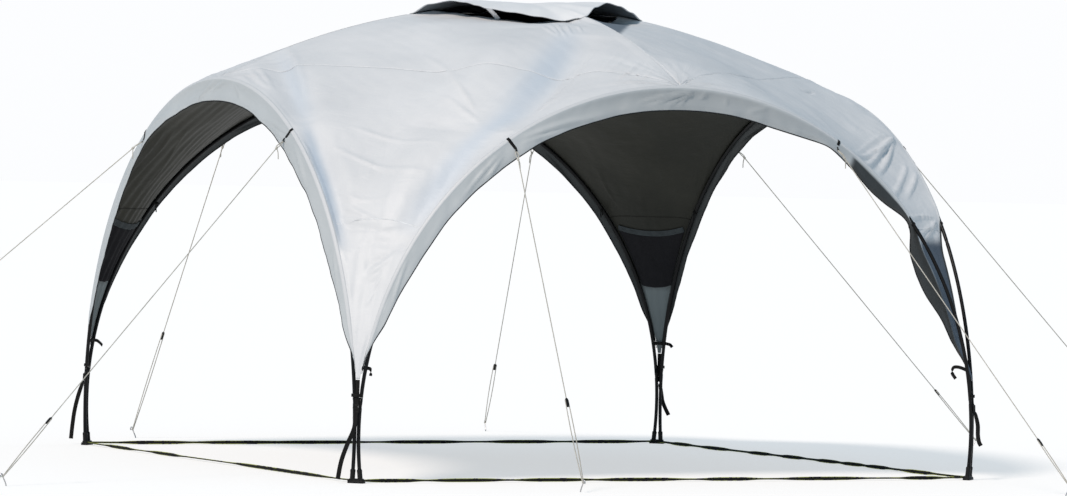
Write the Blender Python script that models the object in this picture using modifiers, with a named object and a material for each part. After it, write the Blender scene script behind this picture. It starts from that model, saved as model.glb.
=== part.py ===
"""A dome shade pavilion of poles, cloth, webbing and guy lines, in metres, with +Z up.

Four round arches stand on the sides of a square. Two ridge poles cross over the middle and carry
a cloth roof with a raised vent cap. The origin is on the ground, under the middle of the roof,
and the front faces -Y.
"""

import math

import bmesh
import bpy
from mathutils import Matrix, Vector

# Driving dimensions
HALF_SIDE = 1.75
ARCH_RADIUS = 1.735
ARCH_CENTRE_Z = 0.24
ROOF_HEIGHT = 2.40
TIP_HEIGHT = 0.50

TUBE_RADIUS = 0.0095
RIDGE_POLE_RADIUS = 0.0055
LEG_JOINT_HEIGHT = 0.42
FOOT_HEIGHT = 0.025
FOOT_LENGTH = 0.080
FOOT_WIDTH = 0.036

CLOTH = 0.0025
FLAP_CLOTH = 0.0020
GAP = 0.0003
TUBE_COVER = 0.0115
CANOPY_SAG = 0.085
CANOPY_SAG_DOWN = 0.11

FLAP_DROP = 0.120
FLAP_TIP_DROP = 0.010
FLAP_REACH = 0.045
FLAP_START = math.radians(28)

VENT_SHARE = 0.27
CAP_HALF_DIAGONAL = 0.68
CAP_RISE = 0.012
CAP_LIFT = 0.045

NET_TOP = 1.16
NET_BOTTOM = 0.88
NET_SAG = 0.030
NET_INSIDE = 0.0024

STRAP_WIDTH = 0.022
STRAP_THICKNESS = 0.002
STRAP_Z = 0.0130

ROPE_RADIUS = 0.0020
GUY_REACH = 0.95
PEG_RADIUS = 0.0030
PEG_HEAD_Z = 0.050
PEG_LEAN = 0.025
RUNNER_SHARE = 0.72

# The four sides and corners, each turned a quarter from the one before it
SIDES = ("front", "right", "back", "left")
CORNERS = ("front_left", "front_right", "back_right", "back_left")

# Each guy line runs from its side's arch to a peg in the ground
PEGS = {
    "front_left": ("front", -1, (-0.90, -2.52)),
    "front_right": ("front", 1, (1.51, -3.07)),
    "right_front": ("right", -1, (3.60, -0.56)),
    "right_back": ("right", 1, (3.46, 1.17)),
    "back_right": ("back", -1, (1.31, 3.07)),
    "back_left": ("back", 1, (-1.17, 2.40)),
    "left_back": ("left", -1, (-3.42, 1.67)),
    "left_front": ("left", 1, (-3.60, -1.80)),
}


def clear_scene():
    """Start from an empty scene."""
    for thing in list(bpy.data.objects):
        bpy.data.objects.remove(thing, do_unlink=True)


def make_material(name, colour, roughness, metallic=0.0):
    """A Principled material in one colour."""
    material = bpy.data.materials.new(name)
    material.use_nodes = True
    shader = material.node_tree.nodes["Principled BSDF"]
    shader.inputs["Base Color"].default_value = (*colour, 1.0)
    shader.inputs["Roughness"].default_value = roughness
    shader.inputs["Metallic"].default_value = metallic
    material.diffuse_color = (*colour, 1.0)
    return material


clear_scene()
pavilion = bpy.data.collections.new("shade_pavilion")
bpy.context.scene.collection.children.link(pavilion)

BLACK_STEEL = make_material("black_steel", (0.020, 0.020, 0.022), 0.38, 1.0)
BLACK_FIBRE = make_material("black_fibre", (0.015, 0.015, 0.016), 0.45)
BLACK_PLASTIC = make_material("black_plastic", (0.018, 0.018, 0.018), 0.55)
SILVER_CLOTH = make_material("silver_cloth", (0.66, 0.70, 0.75), 0.60)
FLAP_GREY = make_material("flap_cloth", (0.50, 0.54, 0.55), 0.65)
BLACK_MESH = make_material("black_mesh", (0.020, 0.022, 0.024), 0.80)
BLACK_WEBBING = make_material("black_webbing", (0.016, 0.016, 0.016), 0.80)
GUY_ROPE = make_material("guy_rope", (0.62, 0.60, 0.54), 0.75)


def add_object(name, data, material, turn=0.0):
    """Put a finished mesh or curve into the pavilion, turned about the middle."""
    piece = bpy.data.objects.new(name, data)
    piece.rotation_euler.z = turn
    data.materials.append(material)
    pavilion.objects.link(piece)
    return piece


def quarter(index):
    """The turn that takes the front side, or the front left corner, to a later one."""
    return index * math.pi / 2


def add_tube(name, points, radius, material, turn=0.0):
    """A round pole along a line of points."""
    curve = bpy.data.curves.new(name, "CURVE")
    curve.dimensions = "3D"
    curve.bevel_depth = radius
    curve.bevel_resolution = 2
    curve.use_fill_caps = True
    spline = curve.splines.new("POLY")
    spline.points.add(len(points) - 1)
    for target, point in zip(spline.points, points):
        target.co = (*point, 1.0)
    return add_object(name, curve, material, turn)


def add_sheet(name, place, columns, rows, thickness, material, turn=0.0):
    """A cloth panel: a flat grid laid on place(across, along) and given its thickness."""
    bm = bmesh.new()
    bmesh.ops.create_grid(bm, x_segments=columns, y_segments=rows, size=0.5)
    for vertex in bm.verts:
        vertex.co = place(vertex.co.x + 0.5, vertex.co.y + 0.5)
    mesh = bpy.data.meshes.new(name)
    bm.to_mesh(mesh)
    bm.free()
    mesh.shade_smooth()
    piece = add_object(name, mesh, material, turn)
    cloth = piece.modifiers.new("thickness", "SOLIDIFY")
    cloth.thickness = thickness
    cloth.offset = 1.0
    return piece


def add_band(name, stations, material, turn=0.0, sides=4):
    """Webbing, or a rope with its fittings: sections of their own size along a line.

    A station is a point, the direction of its width, half its width and half its thickness.
    """
    count = len(stations)
    bm = bmesh.new()
    rings = []
    for index, (point, across, half_width, half_thickness) in enumerate(stations):
        before = stations[max(index - 1, 0)][0]
        after = stations[min(index + 1, count - 1)][0]
        along = (Vector(after) - Vector(before)).normalized()
        across = Vector(across)
        across = (across - along * across.dot(along)).normalized()
        through = along.cross(across)
        ring = []
        for corner in range(sides):
            angle = 2 * math.pi * (corner + 0.5) / sides
            grow = 1.0 / math.cos(math.pi / sides)
            offset = across * (half_width * grow * math.cos(angle))
            offset += through * (half_thickness * grow * math.sin(angle))
            ring.append(bm.verts.new(Vector(point) + offset))
        rings.append(ring)
    for ring, following in zip(rings, rings[1:]):
        for corner in range(sides):
            beside = (corner + 1) % sides
            bm.faces.new((ring[corner], ring[beside], following[beside], following[corner]))
    bm.faces.new(tuple(reversed(rings[0])))
    bm.faces.new(tuple(rings[-1]))
    bmesh.ops.recalc_face_normals(bm, faces=bm.faces)
    mesh = bpy.data.meshes.new(name)
    bm.to_mesh(mesh)
    bm.free()
    return add_object(name, mesh, material, turn)


# The lines of the frame, for the front side and the front left corner


def arch_point(angle, outward=0.0, forward=0.0):
    """A point by the front arch, at an angle from its crown, positive towards the right."""
    radius = ARCH_RADIUS + outward
    return Vector((
        radius * math.sin(angle),
        -HALF_SIDE - forward,
        ARCH_CENTRE_Z + radius * math.cos(angle),
    ))


def arch_angle(height):
    """The angle from the crown at which the arch comes down to a height."""
    return math.acos((height - ARCH_CENTRE_Z) / ARCH_RADIUS)


def arc_height(reach, top, end_reach, end_height):
    """The height of a round arc over the middle, from its top and one end."""
    drop = top - end_height
    radius = (end_reach ** 2 + drop ** 2) / (2 * drop)
    return top - radius + math.sqrt(radius ** 2 - reach ** 2)


CROWN_HEIGHT = ARCH_CENTRE_Z + ARCH_RADIUS + TUBE_COVER
TIP_ANGLE = arch_angle(TIP_HEIGHT)
TIP = Vector((-1.7425, -1.7425, TIP_HEIGHT))


def smooth_step(share):
    """Ease from 0 to 1."""
    share = min(max(share, 0.0), 1.0)
    return share * share * (3 - 2 * share)


def ridge_line(share):
    """The front ridge of the cloth, from the top of the roof to the front crown."""
    reach = HALF_SIDE * share
    return Vector((0.0, -reach, arc_height(reach, ROOF_HEIGHT, HALF_SIDE, CROWN_HEIGHT)))


def arch_line(share):
    """The cloth's edge on the front arch, from its crown down to the front left tip."""
    point = arch_point(-TIP_ANGLE * share, TUBE_COVER)
    end = arch_point(-TIP_ANGLE, TUBE_COVER)
    return point + (TIP - end) * smooth_step((share - 0.80) / 0.20)


def mirrored(point):
    """The same point on the left side, across the corner's diagonal."""
    return Vector((point.y, point.x, point.z))


def canopy_point(u, v):
    """The inner face of the cloth over the front left quarter.

    u runs along the front ridge and the left arch, v along the left ridge and the front arch.
    A patch is stretched between these four lines, and tension draws its middle inwards.
    """
    across = ridge_line(u) * (1 - v) + mirrored(arch_line(u)) * v
    across += mirrored(ridge_line(v)) * (1 - u) + arch_line(v) * u
    corners = ridge_line(0) * ((1 - u) * (1 - v)) + ridge_line(1) * (u * (1 - v))
    corners += mirrored(ridge_line(1)) * ((1 - u) * v) + TIP * (u * v)
    belly = 16 * u * (1 - u) * v * (1 - v)
    draw = Vector((CANOPY_SAG, CANOPY_SAG, -CANOPY_SAG_DOWN)) * belly
    return across - corners + draw


def roof_panel_point(across, along, start=VENT_SHARE, end=0.9985):
    """Between the vent and the seam that joins the two crowns."""
    reach = start + (end - start) * along
    margin = 0.0001 / reach
    side = margin + (1 - 2 * margin) * across
    return canopy_point(reach * (1 - side), reach * side)


def corner_panel_point(across, along):
    """Between that seam and the tip of the corner."""
    reach = 1.0003 + 0.955 * along
    spread = 2 - reach
    return canopy_point(reach - 1 + spread * (1 - across), reach - 1 + spread * across)


def flap_width(angle):
    """The flap is widest at the crown and narrows to the tips."""
    share = abs(angle) / TIP_ANGLE
    return FLAP_DROP + (FLAP_TIP_DROP - FLAP_DROP) * share ** 2.2


def flap_point(angle, across, lift=0.0):
    """The front flap goes round the pole and hangs inside the arch, a little forward of it."""
    width = flap_width(angle)
    reach = FLAP_REACH * (0.35 + 0.65 * width / FLAP_DROP)
    if across < 0.5:
        round_pole = FLAP_START + (math.pi / 2 - FLAP_START) * across * 2
        radius = TUBE_COVER + lift
        return arch_point(angle, radius * math.cos(round_pole), radius * math.sin(round_pole))
    hang = across * 2 - 1
    forward = TUBE_COVER + lift + (reach - TUBE_COVER) * math.sin(hang * math.pi / 2)
    return arch_point(angle, -width * hang, forward)


def arch_run(start, end, steps):
    """Points along the arch between two angles, square to it at both ends."""
    square = 0.002 * (1 if end > start else -1)
    inner = [start + square + (end - start - 2 * square) * step / steps for step in range(steps + 1)]
    return [arch_point(angle) for angle in (start, *inner, end)]


def add_arches():
    """Each arch is a long bent tube on two legs."""
    joint = arch_angle(LEG_JOINT_HEIGHT)
    foot = arch_angle(FOOT_HEIGHT + 0.0015)
    seam = GAP / 2 / ARCH_RADIUS
    for index, side in enumerate(SIDES):
        turn = quarter(index)
        bow = arch_run(-joint + seam, joint - seam, 32)
        add_tube(f"{side}_arch_bow", bow, TUBE_RADIUS, BLACK_STEEL, turn)
        for name, hand in (("left", -1), ("right", 1)):
            leg = arch_run(hand * (joint + seam), hand * foot, 4)
            add_tube(f"{side}_arch_{name}_leg", leg, TUBE_RADIUS, BLACK_STEEL, turn)


def add_feet():
    """Under each corner, one block takes both legs."""
    middle = (HALF_SIDE + ARCH_RADIUS * math.sin(arch_angle(0.0))) / 2
    place = Matrix.Translation((-middle, -middle, FOOT_HEIGHT / 2))
    place = place @ Matrix.Rotation(-math.pi / 4, 4, "Z")
    place = place @ Matrix.Diagonal((FOOT_LENGTH, FOOT_WIDTH, FOOT_HEIGHT, 1.0))
    for index, corner in enumerate(CORNERS):
        bm = bmesh.new()
        bmesh.ops.create_cube(bm, size=1.0, matrix=place)
        mesh = bpy.data.meshes.new(f"{corner}_foot")
        bm.to_mesh(mesh)
        bm.free()
        add_object(f"{corner}_foot", mesh, BLACK_PLASTIC, quarter(index))


def add_ridge_poles():
    """Two thin poles cross under the roof, and butt against the arches' crowns."""
    end = HALF_SIDE - TUBE_RADIUS - GAP - 0.001
    crown = ARCH_CENTRE_Z + ARCH_RADIUS
    upper = ROOF_HEIGHT - RIDGE_POLE_RADIUS - 0.0008
    lower = upper - 2 * RIDGE_POLE_RADIUS - GAP
    for name, top, turn in (("ridge_pole_front_to_back", upper, 0.0),
                            ("ridge_pole_left_to_right", lower, math.pi / 2)):
        points = []
        for step in range(25):
            reach = end * (step / 12 - 1)
            points.append(Vector((0.0, reach, arc_height(reach, top, end, crown))))
        add_tube(name, points, RIDGE_POLE_RADIUS, BLACK_FIBRE, turn)


def add_canopy():
    """Roof and corner panels, and the flap along each arch."""
    for index, corner in enumerate(CORNERS):
        turn = quarter(index)
        add_sheet(f"roof_panel_{corner}", roof_panel_point, 16, 9, CLOTH, SILVER_CLOTH, turn)
        add_sheet(f"corner_panel_{corner}", corner_panel_point, 14, 18, CLOTH, SILVER_CLOTH, turn)
    for index, side in enumerate(SIDES):
        def place(across, along):
            return flap_point(TIP_ANGLE * (1 - 2 * across), along)
        add_sheet(f"{side}_flap", place, 38, 4, FLAP_CLOTH, FLAP_GREY, quarter(index))


def add_vent():
    """A net closes the hole in the roof, and a cap stands over it."""
    def whole_roof(x, y):
        """The inner face of the cloth over all four quarters, from shares of each half."""
        quarter_point = canopy_point(abs(y), abs(x))
        return Vector((math.copysign(quarter_point.x, x), math.copysign(quarter_point.y, y),
                       quarter_point.z))

    def diamond(across, along):
        """A square turned an eighth, its corners on the ridges."""
        a = across * 2 - 1
        b = along * 2 - 1
        return (a - b) / 2, (a + b) / 2

    def net_place(across, along):
        x, y = diamond(across, along)
        share = VENT_SHARE - 0.0008
        return whole_roof(x * share, y * share)

    def cap_place(across, along):
        x, y = diamond(across, along)
        share = CAP_HALF_DIAGONAL / HALF_SIDE
        point = whole_roof(x * share, y * share)
        reach = abs(x) + abs(y)
        ridge = 1 - 4 * abs(x * y) / max(reach, 0.001) ** 2
        rise = CAP_RISE * (1 - reach ** 2)
        lift = CAP_LIFT * (1 - ridge ** 2)
        point.z += CLOTH + rise + lift
        return point

    add_sheet("vent_net", net_place, 8, 8, 0.0015, BLACK_MESH)
    add_sheet("vent_cap", cap_place, 14, 14, CLOTH, SILVER_CLOTH)


def add_corner_nets():
    """A black net is sewn flat inside each corner, between the two arches."""
    def reach_at(height):
        """How far down the corner panel its middle comes to a height."""
        low, high = 1.0, 1.95
        for _ in range(30):
            middle = (low + high) / 2
            if canopy_point(middle / 2, middle / 2).z > height:
                low = middle
            else:
                high = middle
        return low

    bottom = reach_at(NET_BOTTOM)

    def place(across, along):
        top = reach_at(NET_TOP - NET_SAG * math.sin(math.pi * across))
        reach = top + (bottom - top) * along
        spread = 2 - reach
        width = (canopy_point(1, reach - 1) - canopy_point(reach - 1, 1)).length
        margin = 0.030 / width
        side = margin + (1 - 2 * margin) * across
        point = canopy_point(reach - 1 + spread * (1 - side), reach - 1 + spread * side)
        return point + Vector((NET_INSIDE, NET_INSIDE, 0.0))

    for index, corner in enumerate(CORNERS):
        add_sheet(f"corner_net_{corner}", place, 14, 8, 0.0015, BLACK_MESH, quarter(index))


def add_ground_straps():
    """Webbing ties each foot to the next, and takes one slow twist on the way."""
    leg_reach = ARCH_RADIUS * math.sin(arch_angle(0.0))
    line = (HALF_SIDE + leg_reach) / 2
    start = line - FOOT_WIDTH / math.sqrt(2) - STRAP_THICKNESS / 2 - GAP * math.sqrt(2)
    for index, side in enumerate(SIDES):
        stations = []
        for step in range(17):
            share = step / 16
            twist = math.pi * smooth_step((share - 0.25) / 0.5)
            stations.append((
                (-start + 2 * start * share, -line, STRAP_Z),
                (0.0, math.sin(twist), math.cos(twist)),
                STRAP_WIDTH / 2,
                STRAP_THICKNESS / 2,
            ))
        add_band(f"{side}_ground_strap", stations, BLACK_WEBBING, quarter(index))


def add_corner_straps():
    """A strap pulls each tip of the cloth down the poles, and its loose end hangs outside."""
    across = (1.0, -1.0, 0.0)
    half_width = STRAP_WIDTH / 2
    half_thickness = STRAP_THICKNESS / 2

    def out(distance, height):
        """A point outside the two legs, at a distance from the line that touches both."""
        leg_reach = ARCH_RADIUS * math.sin(arch_angle(height))
        tube_flat = TUBE_RADIUS * math.cos(math.pi / 8)
        middle = (HALF_SIDE + leg_reach) / 2 + (tube_flat + GAP + distance) / math.sqrt(2)
        return (-middle, -middle, height)

    stations = [
        (out(0.0030, TIP_HEIGHT + 0.006), across, half_width, half_thickness),
        (out(half_thickness, 0.440), across, half_width, half_thickness),
        (out(half_thickness, 0.395), across, half_width, half_thickness),
        (out(0.0055, 0.385), across, 0.015, 0.005),
        (out(0.0055, 0.350), across, 0.015, 0.005),
        (out(0.0100, 0.340), across, half_width, half_thickness),
        (out(0.0330, 0.270), across, half_width, half_thickness),
        (out(0.0520, 0.190), across, half_width, half_thickness),
        (out(0.0580, 0.110), across, half_width, half_thickness),
        (out(0.0500, 0.030), across, half_width, half_thickness),
    ]
    for index, corner in enumerate(CORNERS):
        add_band(f"{corner}_tip_strap", stations, BLACK_WEBBING, quarter(index))


def add_guy_lines():
    """From a webbing tab on the flap, a rope with a runner goes down to the head of a peg."""
    angle = math.asin(GUY_REACH / ARCH_RADIUS)
    for name, (side, hand, peg) in PEGS.items():
        turn = quarter(SIDES.index(side))
        ground = Matrix.Rotation(-turn, 3, "Z") @ Vector((*peg, 0.0))
        lift = FLAP_CLOTH + 0.0020
        tab = [flap_point(hand * angle, share, lift) for share in (0.10, 0.25, 0.50, 0.75, 1.0)]
        hem = tab[-1]
        outward = Vector((ground.x - hem.x, ground.y - hem.y, 0.0)).normalized()
        head = ground + outward * PEG_LEAN + Vector((0, 0, PEG_HEAD_Z))
        start = hem + (head - hem) * 0.02 + Vector((0, -0.006, -0.004))
        along_arch = Vector((math.cos(angle), 0.0, -hand * math.sin(angle)))
        level = Vector((-outward.y, outward.x, 0.0))
        runner = start + (head - start) * RUNNER_SHARE
        pull = (head - start).normalized()
        stations = [(point, along_arch, 0.009, 0.001) for point in tab]
        stations += [
            (start, level, ROPE_RADIUS, ROPE_RADIUS),
            (start + (head - start) * 0.5, level, ROPE_RADIUS, ROPE_RADIUS),
            (runner - pull * 0.028, level, ROPE_RADIUS, ROPE_RADIUS),
            (runner - pull * 0.024, level, 0.008, 0.004),
            (runner + pull * 0.024, level, 0.008, 0.004),
            (runner + pull * 0.028, level, ROPE_RADIUS, ROPE_RADIUS),
            (head - pull * 0.006, level, ROPE_RADIUS, ROPE_RADIUS),
            (head, level, PEG_RADIUS, PEG_RADIUS),
            (ground + outward * PEG_LEAN * 0.2 + Vector((0, 0, 0.010)), level, PEG_RADIUS, PEG_RADIUS),
        ]
        guy = add_band(f"guy_line_{name}", stations, GUY_ROPE, turn, sides=6)
        trim_to_ground(guy, ground)


def trim_to_ground(guy, ground):
    """Lengthen the peg's last ring straight down to the ground, where it ends flat."""
    mesh = guy.data
    bm = bmesh.new()
    bm.from_mesh(mesh)
    bm.verts.ensure_lookup_table()
    last = bm.verts[-6:]
    shift = ground - sum((vertex.co for vertex in last), Vector()) / 6
    slope = shift / abs(shift.z)
    for vertex in last:
        vertex.co += slope * vertex.co.z
        vertex.co.z = 0.0
    bm.to_mesh(mesh)
    bm.free()


add_arches()
add_feet()
add_ridge_poles()
add_canopy()
add_vent()
add_corner_nets()
add_ground_straps()
add_corner_straps()
add_guy_lines()
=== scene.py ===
# %% [markdown]
# # A dome shade pavilion
#
# Four round arches stand on a square, two thin poles cross over the middle, and one big cloth is
# pulled over them. The solid model gives every part its place and its size. This script replaces
# its plain solids with real cloth, webbing, tube and rope, and gives every surface its own
# material. All lengths are in metres, and the ground is at zero.

# %% Load the solid model
import math

import bmesh
import bpy
import numpy as np
from mathutils import Matrix, Vector


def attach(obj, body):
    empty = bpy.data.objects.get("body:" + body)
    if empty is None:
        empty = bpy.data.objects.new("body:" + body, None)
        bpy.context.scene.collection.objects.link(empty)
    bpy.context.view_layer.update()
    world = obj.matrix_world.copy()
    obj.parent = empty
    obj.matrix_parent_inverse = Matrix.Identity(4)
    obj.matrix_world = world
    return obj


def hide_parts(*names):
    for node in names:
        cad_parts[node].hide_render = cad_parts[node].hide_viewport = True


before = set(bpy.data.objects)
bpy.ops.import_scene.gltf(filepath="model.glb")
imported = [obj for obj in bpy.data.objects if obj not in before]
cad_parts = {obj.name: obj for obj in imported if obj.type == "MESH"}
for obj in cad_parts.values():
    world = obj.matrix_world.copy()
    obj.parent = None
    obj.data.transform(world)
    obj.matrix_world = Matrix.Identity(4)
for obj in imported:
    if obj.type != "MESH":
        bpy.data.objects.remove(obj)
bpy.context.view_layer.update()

# %% [markdown]
# ## The camera
#
# The picture is taken from far away with a long lens, a little above head height. A long lens
# keeps the far arches nearly as big as the near ones. The camera's right, up and forward come from
# its heading, its pitch and a slight roll.

# %% Place the camera
HEADING = math.radians(26.414)
PITCH = math.radians(-1.050)
ROLL = math.radians(1.277)
forward = Vector((math.sin(HEADING) * math.cos(PITCH), math.cos(HEADING) * math.cos(PITCH), math.sin(PITCH)))
level = forward.cross(Vector((0, 0, 1))).normalized()
rise = level.cross(forward)
right = level * math.cos(ROLL) + rise * math.sin(ROLL)
up = rise * math.cos(ROLL) - level * math.sin(ROLL)

camera = bpy.data.objects.new("camera", bpy.data.cameras.new("camera"))
bpy.context.scene.collection.objects.link(camera)
camera.data.sensor_width = 36.0
camera.data.lens = 212.02
camera.data.clip_end = 400.0
facing = Matrix((right, up, -forward)).transposed().to_4x4()
camera.matrix_world = Matrix.Translation((-14.674, -29.680, 1.737)) @ facing
bpy.context.scene.camera = camera
print("camera stands", round(camera.location.length, 1), "m from the middle")

# %% [markdown]
# ## Nodes without clutter
#
# A material is a small tree of nodes. The helper adds one node, sets it, and links or fills its
# inputs in the same call, so that a whole finish stays readable.

# %% Helpers for materials
def add(tree, kind, inputs=None, **settings):
    """Add a node, set it, and link or fill its inputs."""
    made = tree.nodes.new("ShaderNode" + kind)
    for key, value in settings.items():
        setattr(made, key, value)
    for key, value in (inputs or {}).items():
        if isinstance(value, bpy.types.NodeSocket):
            tree.links.new(value, made.inputs[key])
        else:
            made.inputs[key].default_value = value
    return made


def new_material(name, **sockets):
    """A material with a Principled shader, its tree, its shader and Object coordinates."""
    material = bpy.data.materials.new(name)
    material.use_nodes = True
    tree = material.node_tree
    shader = tree.nodes["Principled BSDF"]
    for key, value in sockets.items():
        shader.inputs[key.replace("_", " ")].default_value = value
    where = add(tree, "TexCoord").outputs["Object"]
    return material, tree, shader, where


def maths(tree, operation, first, second=0.0, third=0.0):
    """One Math node's result."""
    made = add(tree, "Math", {0: first, 1: second, 2: third}, operation=operation)
    return made.outputs["Value"]


def two_colours(tree, amount, first, second, low=0.3, high=0.7):
    """A ramp from one colour to another."""
    ramp = add(tree, "ValToRGB", {"Fac": amount})
    for element, place, colour in zip(ramp.color_ramp.elements, (low, high), (first, second)):
        element.position = place
        element.color = (*colour, 1)
    return ramp.outputs["Color"]


def mixed(tree, amount, first, second):
    """Two colours mixed by an amount."""
    made = add(tree, "Mix", {0: amount, 6: first, 7: second}, data_type="RGBA")
    return made.outputs[2]


# %% [markdown]
# ## Coated cloth
#
# Coated polyester looks flat from afar, but it isn't. The coating has faint clouds, small creases
# catch the light, and close up there is a square weave. Clouds and creases are noise in Object
# coordinates, so they keep their real size on every panel. The weave is two crossed waves. A point
# attribute mixes in the lining's dark colour where the lining shows, and paints light into the
# colour: painted shade under the front crown and in the slipped corner, a painted shadow of the
# vent's hood, and below nought a painted reflection of the blue sky in the valleys and a lighter
# band where a flap lies over its pole.

# %% The cloth finish
def cloth_finish(name, dark, light, under, roughness, crease, sheen=0.15, low=None, gloss=0.5, painted_light_colour=None):
    """Coated cloth: clouds of two close colours, a point attribute's lining colour and painted light, creases, and a
    fine square weave.
    """
    material, tree, shader, where = new_material(name, Roughness=roughness, Sheen_Weight=sheen, Sheen_Roughness=0.4, Specular_IOR_Level=gloss)
    clouds = add(tree, "TexNoise", {"Vector": where, "Scale": 1.7, "Detail": 5.0, "Roughness": 0.55})
    colour = two_colours(tree, clouds.outputs["Fac"], dark, light)
    if low:
        height = add(tree, "SeparateXYZ", {"Vector": where}).outputs["Z"]
        lower = add(tree, "MapRange", {"Value": height, "From Min": 0.93, "From Max": 0.86})
        colour = mixed(tree, lower.outputs["Result"], colour, (*low, 1))
    # A point attribute mixes in, above nought, the dark colour of the lining and of painted shade, and below nought the
    # colour of painted light: a painted sky reflection on the silver cloth, a lighter band over a flap's pole.
    painted_amount = add(tree, "Attribute", attribute_name="lining_and_painted_light")
    if painted_light_colour:
        colour = mixed(tree, maths(tree, "MULTIPLY", painted_amount.outputs["Fac"], -1.0), colour, (*painted_light_colour, 1))
    colour = mixed(tree, painted_amount.outputs["Fac"], colour, (*under, 1))
    tree.links.new(colour, shader.inputs["Base Color"])
    broad = add(tree, "TexNoise", {"Vector": where, "Scale": 5.0, "Detail": 4.0, "Roughness": 0.55, "Distortion": 0.8})
    small = add(tree, "TexNoise", {"Vector": where, "Scale": 26.0, "Detail": 3.0, "Roughness": 0.5, "Distortion": 0.5})
    warp = add(tree, "TexWave", {"Vector": where, "Scale": 420.0}, bands_direction="DIAGONAL")
    weft = add(tree, "TexWave", {"Vector": where, "Scale": 420.0}, bands_direction="Z")
    weave = maths(tree, "MULTIPLY", warp.outputs["Fac"], weft.outputs["Fac"])
    bump = add(tree, "Bump", {"Height": broad.outputs["Fac"], "Strength": crease, "Distance": 0.012})
    bump = add(tree, "Bump", {"Height": small.outputs["Fac"], "Strength": crease, "Distance": 0.0016, "Normal": bump.outputs["Normal"]})
    across = add(tree, "UVMap", uv_map="cloth").outputs["UV"]
    radial = add(tree, "UVMap", uv_map="fan").outputs["UV"]
    for uv, stretch, pull in ((across, (2.2, 30.0, 1.0), "cross_pull"), (radial, (2.0, 60.0, 1.0), "fan_pull")):
        drawn = add(tree, "Mapping", {"Vector": uv, "Scale": stretch}).outputs["Vector"]
        streaks = add(tree, "TexNoise", {"Vector": drawn, "Scale": 1.0, "Detail": 3.0, "Roughness": 0.6, "Distortion": 0.25})
        strength = add(tree, "Attribute", attribute_name=pull).outputs["Fac"]
        patch = add(tree, "TexNoise", {"Vector": uv, "Scale": 4.5, "Detail": 1.0})
        patch = add(tree, "MapRange", {"Value": patch.outputs["Fac"], "From Min": 0.42, "From Max": 0.66, "To Min": 0.15})
        strength = maths(tree, "MULTIPLY", strength, patch.outputs["Result"])
        height = maths(tree, "MULTIPLY", streaks.outputs["Fac"], strength)
        bump = add(tree, "Bump", {"Height": height, "Strength": 0.8, "Distance": 0.006, "Normal": bump.outputs["Normal"]})
    bump = add(tree, "Bump", {"Height": weave, "Strength": 0.10, "Distance": 0.0004, "Normal": bump.outputs["Normal"]})
    tree.links.new(bump.outputs["Normal"], shader.inputs["Normal"])
    return material


# Silver cloth: its navy colour is painted shade and painted shadow, and its blue one is a painted reflection of the sky
# in the valleys.
silver = cloth_finish("silver coated cloth", (0.59, 0.600, 0.614), (0.67, 0.676, 0.686), (0.035, 0.055, 0.085), 0.50, 0.30,
                      sheen=0.0, gloss=0.35, painted_light_colour=(0.50, 0.565, 0.64))
# The flaps are the same silver cloth: their darker grey green is painted shade where they hang away from the light, the
# lighter colour is a painted lit band over the pole, and the near black shows the lining and painted shade under the
# front crown.
flap_cloth_painted_shade = cloth_finish("flap cloth with painted shade", (0.41, 0.438, 0.452), (0.47, 0.498, 0.512), (0.016, 0.017, 0.016), 0.50, 0.35, painted_light_colour=(0.54, 0.555, 0.57))
lining = cloth_finish("dark lining", (0.017, 0.0176, 0.0135), (0.029, 0.0288, 0.0220), (0.05, 0.06, 0.07), 0.60, 0.45, sheen=0.0, low=(0.15, 0.178, 0.185), gloss=0.2)
flap_lining = cloth_finish("flap lining", (0.036, 0.042, 0.043), (0.054, 0.060, 0.062), (0.05, 0.06, 0.07), 0.60, 0.30, sheen=0.0, gloss=0.3)
# The cap's lining is lighter than the other linings: painted bounce light from the silver roof below it.
cap_lining_painted_bounce = cloth_finish("cap lining with painted bounce light", (0.11, 0.125, 0.14), (0.17, 0.185, 0.20), (0.05, 0.06, 0.07), 0.60, 0.25, sheen=0.0, gloss=0.2)
# The cap cloth is lighter than the silver cloth of the roof: painted light on the cap top.
cap_cloth_painted_light = cloth_finish("cap cloth with painted light", (0.72, 0.725, 0.735), (0.80, 0.80, 0.80), (0.10, 0.13, 0.17), 0.50, 0.25, sheen=0.0, gloss=0.35)
print("cloth finishes: 6")

# %% [markdown]
# ## Net, paint, plastic and steel
#
# A net reads as black with a fine lattice. Powder coat and moulded plastic are nearly one colour,
# so their life is in the roughness, which varies in patches, and in a very fine grain.

# %% Net, paint, plastic and steel
def net_finish(name):
    """Black net: a lattice of threads over darkness."""
    material, tree, shader, where = new_material(name, Roughness=0.85, Specular_IOR_Level=0.1)
    threads = add(tree, "TexVoronoi", {"Vector": where, "Scale": 260.0}, feature="DISTANCE_TO_EDGE")
    clouds = add(tree, "TexNoise", {"Vector": where, "Scale": 14.0, "Detail": 3.0, "Distortion": 1.0})
    dark = two_colours(tree, threads.outputs["Distance"], (0.016, 0.016, 0.018), (0.004, 0.004, 0.005), 0.02, 0.22)
    colour = mixed(tree, maths(tree, "MULTIPLY", clouds.outputs["Fac"], 0.5), dark, (0.020, 0.020, 0.023, 1))
    tree.links.new(colour, shader.inputs["Base Color"])
    relief = add(tree, "Bump", {"Height": threads.outputs["Distance"], "Strength": 0.5, "Distance": 0.001}, invert=True)
    tree.links.new(relief.outputs["Normal"], shader.inputs["Normal"])
    return material


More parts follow.
